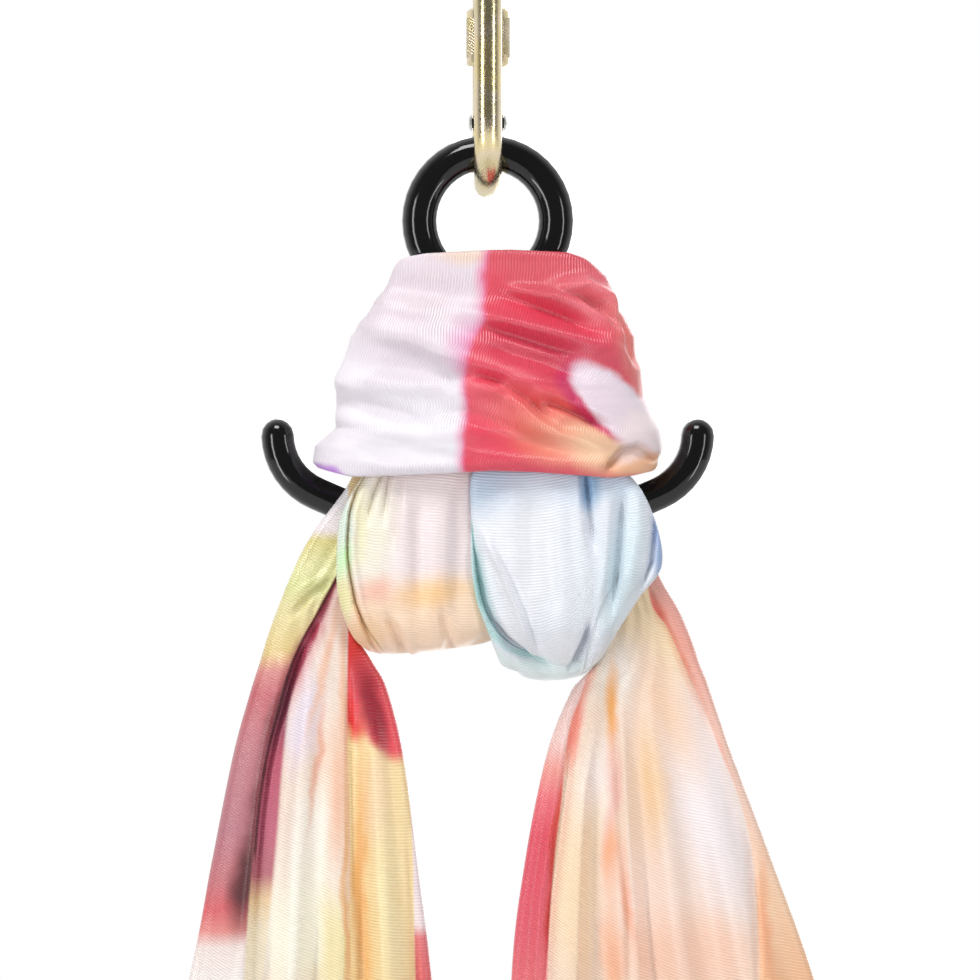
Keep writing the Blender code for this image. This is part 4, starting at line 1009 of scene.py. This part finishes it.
def lobe_place(side, rows, lines, lip, tuck):
    """A function that places the points of one lobe. Its inner edge stands out by lip or is tucked in."""
    keys = lobe_keys(rows)
    last = len(keys) - 1

    def place(u, v):
        q, e = section(u)
        at = v * last
        y, z, outer, inner, half, bow, slant = flow(keys, at).T
        ahead, behind = flow(keys, np.minimum(at + NEAR, last)), flow(keys, np.maximum(at - NEAR, 0))
        way = (ahead - behind)[:, :2]
        way /= np.hypot(way[:, 0], way[:, 1])[:, None]
        flat = np.maximum(ease(1 - at / 0.5), ease(1 - (last - at) / 0.5))[:, None]
        upright = np.stack([0 * v, np.where(v < 0.5, -1, 1)], axis=1)
        way = way * (1 - flat) + flat * upright
        way /= np.hypot(way[:, 0], way[:, 1])[:, None]
        ahead_of_bar = ease((-FACE - y) / PAST_BAR)
        front = np.clip(e, 0, 1) * ahead_of_bar * ease(at / 0.6)
        reach = lip * ease((-q - 0.6) / 0.4) * np.clip((e + 0.4) / 1.4, 0, 1) * ahead_of_bar
        x = side * ((outer + inner) / 2 + q * (outer - inner) / 2 - reach)
        lift = e * half - tuck * ease((-q - 0.5) / 0.5) * front + front * folds(x, z, lines)
        lift = lift - bow * q * q + slant * q
        behind_bar = np.clip(e, 0, 1) * ease((y - FACE) / PAST_BAR) * ease((last - at) / 0.6)
        lift += behind_bar * pleats(q, at, 0.8 * MM, 8)
        return np.stack([x, y + way[:, 1] * lift, z - way[:, 0] * lift], axis=1)

    return place


for side, word, rows, lines, lip, tuck in (
    (-1, "left", LEFT_LOBE, LEFT_LOBE_FOLDS, 0, 3.6 * MM),
    (1, "right", RIGHT_LOBE, RIGHT_LOBE_FOLDS, 4.6 * MM, 0),
):
    place = lobe_place(side, rows, lines, lip, tuck)
    made = cloth_piece(f"{word}_lobe_roll", 200, 230, place, 0.14, silk[f"{word}_lobe"])
    dress(made, f"{word}_lobe")

# %% [markdown]
# ## The hidden turns
# Behind the neck each half dives forwards through the large ring to the top of its lobe, and from the
# lobe's end behind it comes forwards through the ring once more to its tail. These are short twisted rolls
# between known sections.


# %% Throats and inner turns
def roll_place(keys, depth):
    """A function that places a roll through sections of centre, half width and half thickness."""
    last = len(keys) - 1

    def place(u, v):
        q, e = section(u, 3.0)
        rows = flow(keys, v * last)
        centre, wide, thick = rows[:, 0:3], rows[:, 3:6], rows[:, 6:9]
        lift = e + pleats(q, 5 * v, depth, 6) * np.clip(e, 0, 1) * ease(v / 0.15) * ease((1 - v) / 0.15)
        return centre + wide * q[:, None] + thick * lift[:, None]

    return place


def throat_keys(side):
    """The sections from the band's end behind the neck, forwards through the large ring."""
    ends = band_place(np.array([0.0, 0.75, 0.375, 0.875]), np.full(4, 1.0))
    top, low, outer, inner = (Vector(p) for p in ends)
    start = (outer + inner) / 2 + Vector((-3 * GAP, GAP, 0))
    wide, thick = (top - low) / 2, (outer - inner) / 2
    front = lobe_keys(RIGHT_LOBE)[0]
    rows = [
        (*(start / MM), *(wide / MM), *(thick / MM)),
        (start.x / MM - 9, start.y / MM - 1, start.z / MM, 3, -2, 7.5, -2, 5, 3),
        (12, 4, -180.25, 10, -1, 0, 0, 2, 8.5),
        (12.5, -6.8, -181.25, 11.5, 0, 0, 0, -3, 7.5),
        (15.5, -15.8, -185.75, 14.5, 0, 0, 0, -5, 4),
        (19.6, front[0] / MM, front[1] / MM - 1.5, 17.7, 0, 0, 0, 0.2 - front[4] / MM, 0),
    ]
    flip = np.array([side, 1, 1] * 3)
    return np.array(rows) * flip * MM


def inner_keys(side, rows):
    """The sections from the lobe's end behind the ring, forwards through it to the tail."""
    y, z, outer, inner, half, *_ = (value / MM for value in lobe_keys(rows)[-1])
    centre, wide, low = (outer + inner) / 2, (outer - inner) / 2 - 0.2, z - 1.5
    reach = 33.4 - centre
    rows = [
        (centre, y, low, wide, 0, 0, 0, half - 0.2, 0),
        (centre, y - 2, low + 6, wide, 0, 0, 0, half, 3),
        (centre - 1, y - 9, low + 10.8, reach, 0, 0, 0, 3, 6.5),
        (centre - 1, 0, low + 11.8, reach, 0, 0, 0, 0, 7.5),
        (centre - 1, -14.8, low + 11.8, reach, 0, 0, 0, 0, 7.5),
    ]
    return np.array(rows) * np.array([side, 1, 1] * 3) * MM


turns = {}
for side, word, rows in ((-1, "left", LEFT_LOBE), (1, "right", RIGHT_LOBE)):
    turns[word] = []
    for part, node, steps, keys in (
        ("throat_roll", "throat", 90, throat_keys(side)),
        ("inner_roll", "inner_turn", 70, inner_keys(side, rows)),
    ):
        made = cloth_piece(f"{word}_{part}", 80, steps, roll_place(keys, 0.06), 0.08, silk[f"{word}_lobe"])
        turns[word].append(dress(made, f"{word}_{node}"))

# %% [markdown]
# ## The tails
# Each tail is 1.5 m of cloth, gathered to a hand's width at the ring and loose at its hem. A closed shape
# would look solid at the hem, so this is one open sheet: its section starts at the back, turns round the
# outer edge, crosses the front, turns in again, and ends between the two. Below the picture its pleats
# deepen, as hanging silk does.

# %% The tails' outlines and folds
# At each drop below the ring's middle: how far ahead of the ring's face the sheet lies, how thick its
# gathering is, and how deep its folds are. Then each tail's outer and inner edge there. All in mm.
TAIL_DEPTHS = {
    -3.5: (4.5, 7, 0), 2: (4.7, 7.6, 0.1), 8: (4.7, 8, 0.1), 16: (4.7, 8.2, 0.1), 25: (4.8, 8.4, 0.2),
    36: (4.6, 8.8, 0.2), 46: (2.6, 9.4, 0.3), 56: (1.2, 9.8, 0.4), 66: (1, 9.6, 0.5), 72: (1, 9.4, 0.5),
    76: (1.2, 9.4, 0.6), 78: (1.2, 9.4, 0.6), 100: (2, 9, 1), 140: (3, 8, 2.2), 185: (3, 7, 4.5),
    270: (2, 5.5, 11), 420: (0, 4.5, 22), 550: (-1.5, 4.2, 26.5), 700: (-3, 4, 30), 900: (-4, 3.8, 33),
    1100: (-5, 3.6, 35), 1350: (-6, 3.5, 36.8), 1600: (-6.8, 3.4, 38), 1820: (-6.8, 3.4, 39.2),
    2040: (-6.8, 3.4, 40),
}
LEFT_TAIL = [
    (-3.5, 2.5, -7), (2, 5.5, -14.2), (8, 10, -16.5), (16, 16, -15.5), (25, 21.5, -11.5), (36, 26.5, -1.5),
    (46, 30.5, 4), (56, 34.2, 1.5), (66, 37.2, -4.5), (76, 40.4, -9.8), (100, 47, -15.7), (140, 55, -21),
    (185, 64, -26.5), (270, 87, -34), (420, 125, -38), (550, 155.5, -38.5), (700, 185, -36),
    (900, 218, -33), (1100, 247, -37), (1350, 277, -40), (1600, 303, -35), (1820, 322, -31),
    (2040, 338.5, -38),
]
RIGHT_TAIL = [
    (-3.5, 2.5, -7), (2, 5, -14.2), (8, 7.5, -16.5), (16, 10, -15.5), (25, 12.5, -11.5), (36, 17, -3),
    (46, 23, -1.5), (56, 27.5, -3.5), (66, 31, -7), (72, 33.5, -12.5), (78, 35.5, -17), (100, 43, -25.4),
    (140, 58, -33.5), (185, 74, -38.5), (270, 99, -39.5), (420, 137, -36), (550, 163, -33),
    (700, 190.5, -36), (900, 220, -40), (1100, 247, -38), (1350, 273.5, -33), (1600, 298.5, -36),
    (1820, 317, -40), (2040, 333, -35),
]
LEFT_TAIL_FOLDS = [
    (3, 1, 6, (354, 540), (338, 572), (319, 608), (298, 646), (287, 674), (279, 702), (271, 730),
     (263, 768), (258, 809), (253, 861), (249, 913), (243, 1100)),
    (-3, 1.8, 1, (358, 540), (342, 573), (323, 610), (302, 648), (291, 676), (283, 704), (275, 732),
     (267, 770), (262, 809), (257, 861), (253, 913), (247, 1100)),
    (1.6, 5, 5, (352, 575), (330, 640), (312, 700), (300, 790), (290, 900), (282, 1060)),
    (-1.6, 1.2, 1.2, (349, 600), (349, 640), (350, 720), (351, 840), (351, 1060)),
    (1.4, 2, 2, (345, 600), (344, 640), (345, 720), (346, 840), (346, 1060)),
    (1.6, 4, 4, (360, 650), (372, 700), (380, 780), (385, 880), (388, 1060)),
    (-1.4, 3, 3, (358, 660), (366, 720), (366, 800), (366, 1060)),
    (-1.6, 1.2, 1.6, (404, 770), (410, 830), (414, 900), (420, 1060)),
    (1.2, 5, 5, (320, 560), (290, 620), (262, 680), (240, 760), (224, 860), (210, 1000)),
    (1.4, 2, 2, (338, 570), (318, 582), (299, 596), (288, 616)),
    (-1.8, 1.5, 1.5, (338, 576), (318, 589), (300, 604), (290, 622)),
    (-1, 3, 3, (235, 700), (220, 800), (210, 900), (200, 1060)),
]
RIGHT_TAIL_FOLDS = [
    (-2.2, 1.2, 1.6, (640, 575), *RIGHT_FAR[1:6]),
    (2.2, 3, 3, (655, 588), (677, 626), (694, 664), (713, 709), (731, 752), (748, 797)),
    (2.4, 3, 2, (590, 670), (572, 700), (562, 750), (550, 830), (540, 900), (530, 1060)),
    (-2.4, 1.4, 2.2, (596, 672), (580, 704), (570, 752), (560, 830), (551, 900), (541, 1060)),
    (1.8, 2, 2, (616, 672), (621, 720), (625, 790), (630, 860), (637, 940), (644, 1060)),
    (-2, 2.2, 1.2, (613, 680), (614, 720), (617, 780), (620, 834), (627, 903), (630, 1060)),
    (1.3, 1.6, 1.6, (601, 688), (592, 743), (585, 790), (581, 846), (578, 920), (574, 1060)),
    (1.6, 5, 5, (640, 660), (655, 740), (668, 840), (680, 1060)),
    (-1.2, 4, 4, (625, 690), (638, 780), (645, 880), (650, 1060)),
    (1.4, 5, 5, (690, 700), (712, 790), (728, 880), (745, 1060)),
    (-1.8, 1.2, 1.8, *RIGHT_FAR[6:], (760, 1060)),
    (1.6, 4, 4, (584, 720), (580, 790), (576, 880), (570, 1060)),
    (-1.4, 2, 2, (592, 740), (592, 800), (590, 880), (586, 1060)),
]
# The columns of the sheet: their share of the grid, the layer (1 back, -1 front, 0 between) and the place
# across.
COLUMNS = [0.0, 0.19, 0.215, 0.85, 0.87, 1.0]
LAYERS = [1.0, 1.0, -1.0, -1.0, 0.0, 0.0]
ACROSS = [-0.78, 1.0, 1.0, -1.0, -1.0, 0.8]
# The rows of the sheet: their share of the grid and their drop in mm, close together near the ring.
ROWS = [0, 0.62, 0.8, 1]
DROPS = [-3.5, 200, 600, 2040]
LOOSE_FROM, LOOSE_OVER = 120, 500  # where the gathering comes loose, and over how many mm
# At these drops half the gathering is no thicker than this, and a fold stands out no further than this.
THICKEST = [-3.5, 3, 140, 420], [0.6, 3.2, 3.4, 2.6]
HIGHEST = [40, 62, 80], [1.0, 1.5, 6.0]


def tail_wave(q, drop):
    """A tail's main folds, from -1 to 1: uneven, and drifting on the way down."""
    bend = q + 0.10 * np.sin(3 * q + drop / 500)
    large = np.cos(4 * math.pi * (bend + 1) + 0.5 * np.sin(drop / 330))
    return 0.82 * large + 0.18 * np.cos(5 * q + drop / 400)


def tail_place(side, rows, lines):
    """A function that places the points of one tail's sheet."""
    rows = [(*edges, *TAIL_DEPTHS[edges[0]]) for edges in rows]
    fine = np.linspace(0, len(rows) - 1, 3000)
    drops = flow(rows, fine)[:, 0]

    def place(u, v):
        drop = np.interp(v, ROWS, DROPS)
        outer, inner, front, thick, fold = flow(rows, np.interp(drop, drops, fine))[:, 1:].T
        layer = np.interp(u, COLUMNS, LAYERS)
        q = np.interp(u, COLUMNS, ACROSS)
        loose = ease((drop - LOOSE_FROM) / LOOSE_OVER)
        spread = np.minimum(thick / 2, np.interp(drop, *THICKEST))
        bulge = np.sqrt(np.clip(1 - layer**2, 0, 1)) * (np.abs(q) > 0.99) * spread * 0.8
        ripples = 1.6 * np.sin(23 * q + drop / 90) + 1.2 * np.sin(41 * q - drop / 130)
        wave = fold * tail_wave(q, drop) + loose * ripples
        x = (outer + inner) / 2 + q * ((outer - inner) / 2 - 0.8 * spread) + bulge * np.sign(q)
        x = side * (RING_SIDE + x * MM)
        z = EIGHT_Z - drop * MM
        near = np.clip(-layer, 0, 1) * ease((drop - 10) / 30) * (1 - loose)
        lift = folds(x, z, lines) / MM
        lift = np.clip(lift, -0.8 * spread, np.interp(drop, *HIGHEST)) * near
        y = -FACE / MM - front + wave + layer * spread - lift
        return np.stack([x, y * MM, z], axis=1)

    return place


for side, word, rows, lines in (
    (-1, "left", LEFT_TAIL, LEFT_TAIL_FOLDS),
    (1, "right", RIGHT_TAIL, RIGHT_TAIL_FOLDS),
):
    place = tail_place(side, rows, lines)
    dyed = silk[f"{word}_tail"]
    made = cloth_piece(f"{word}_tail_sheet", 230, 330, place, 1.5, dyed, roll=False, slant=0.35)
    dress(made, f"{word}_tail")
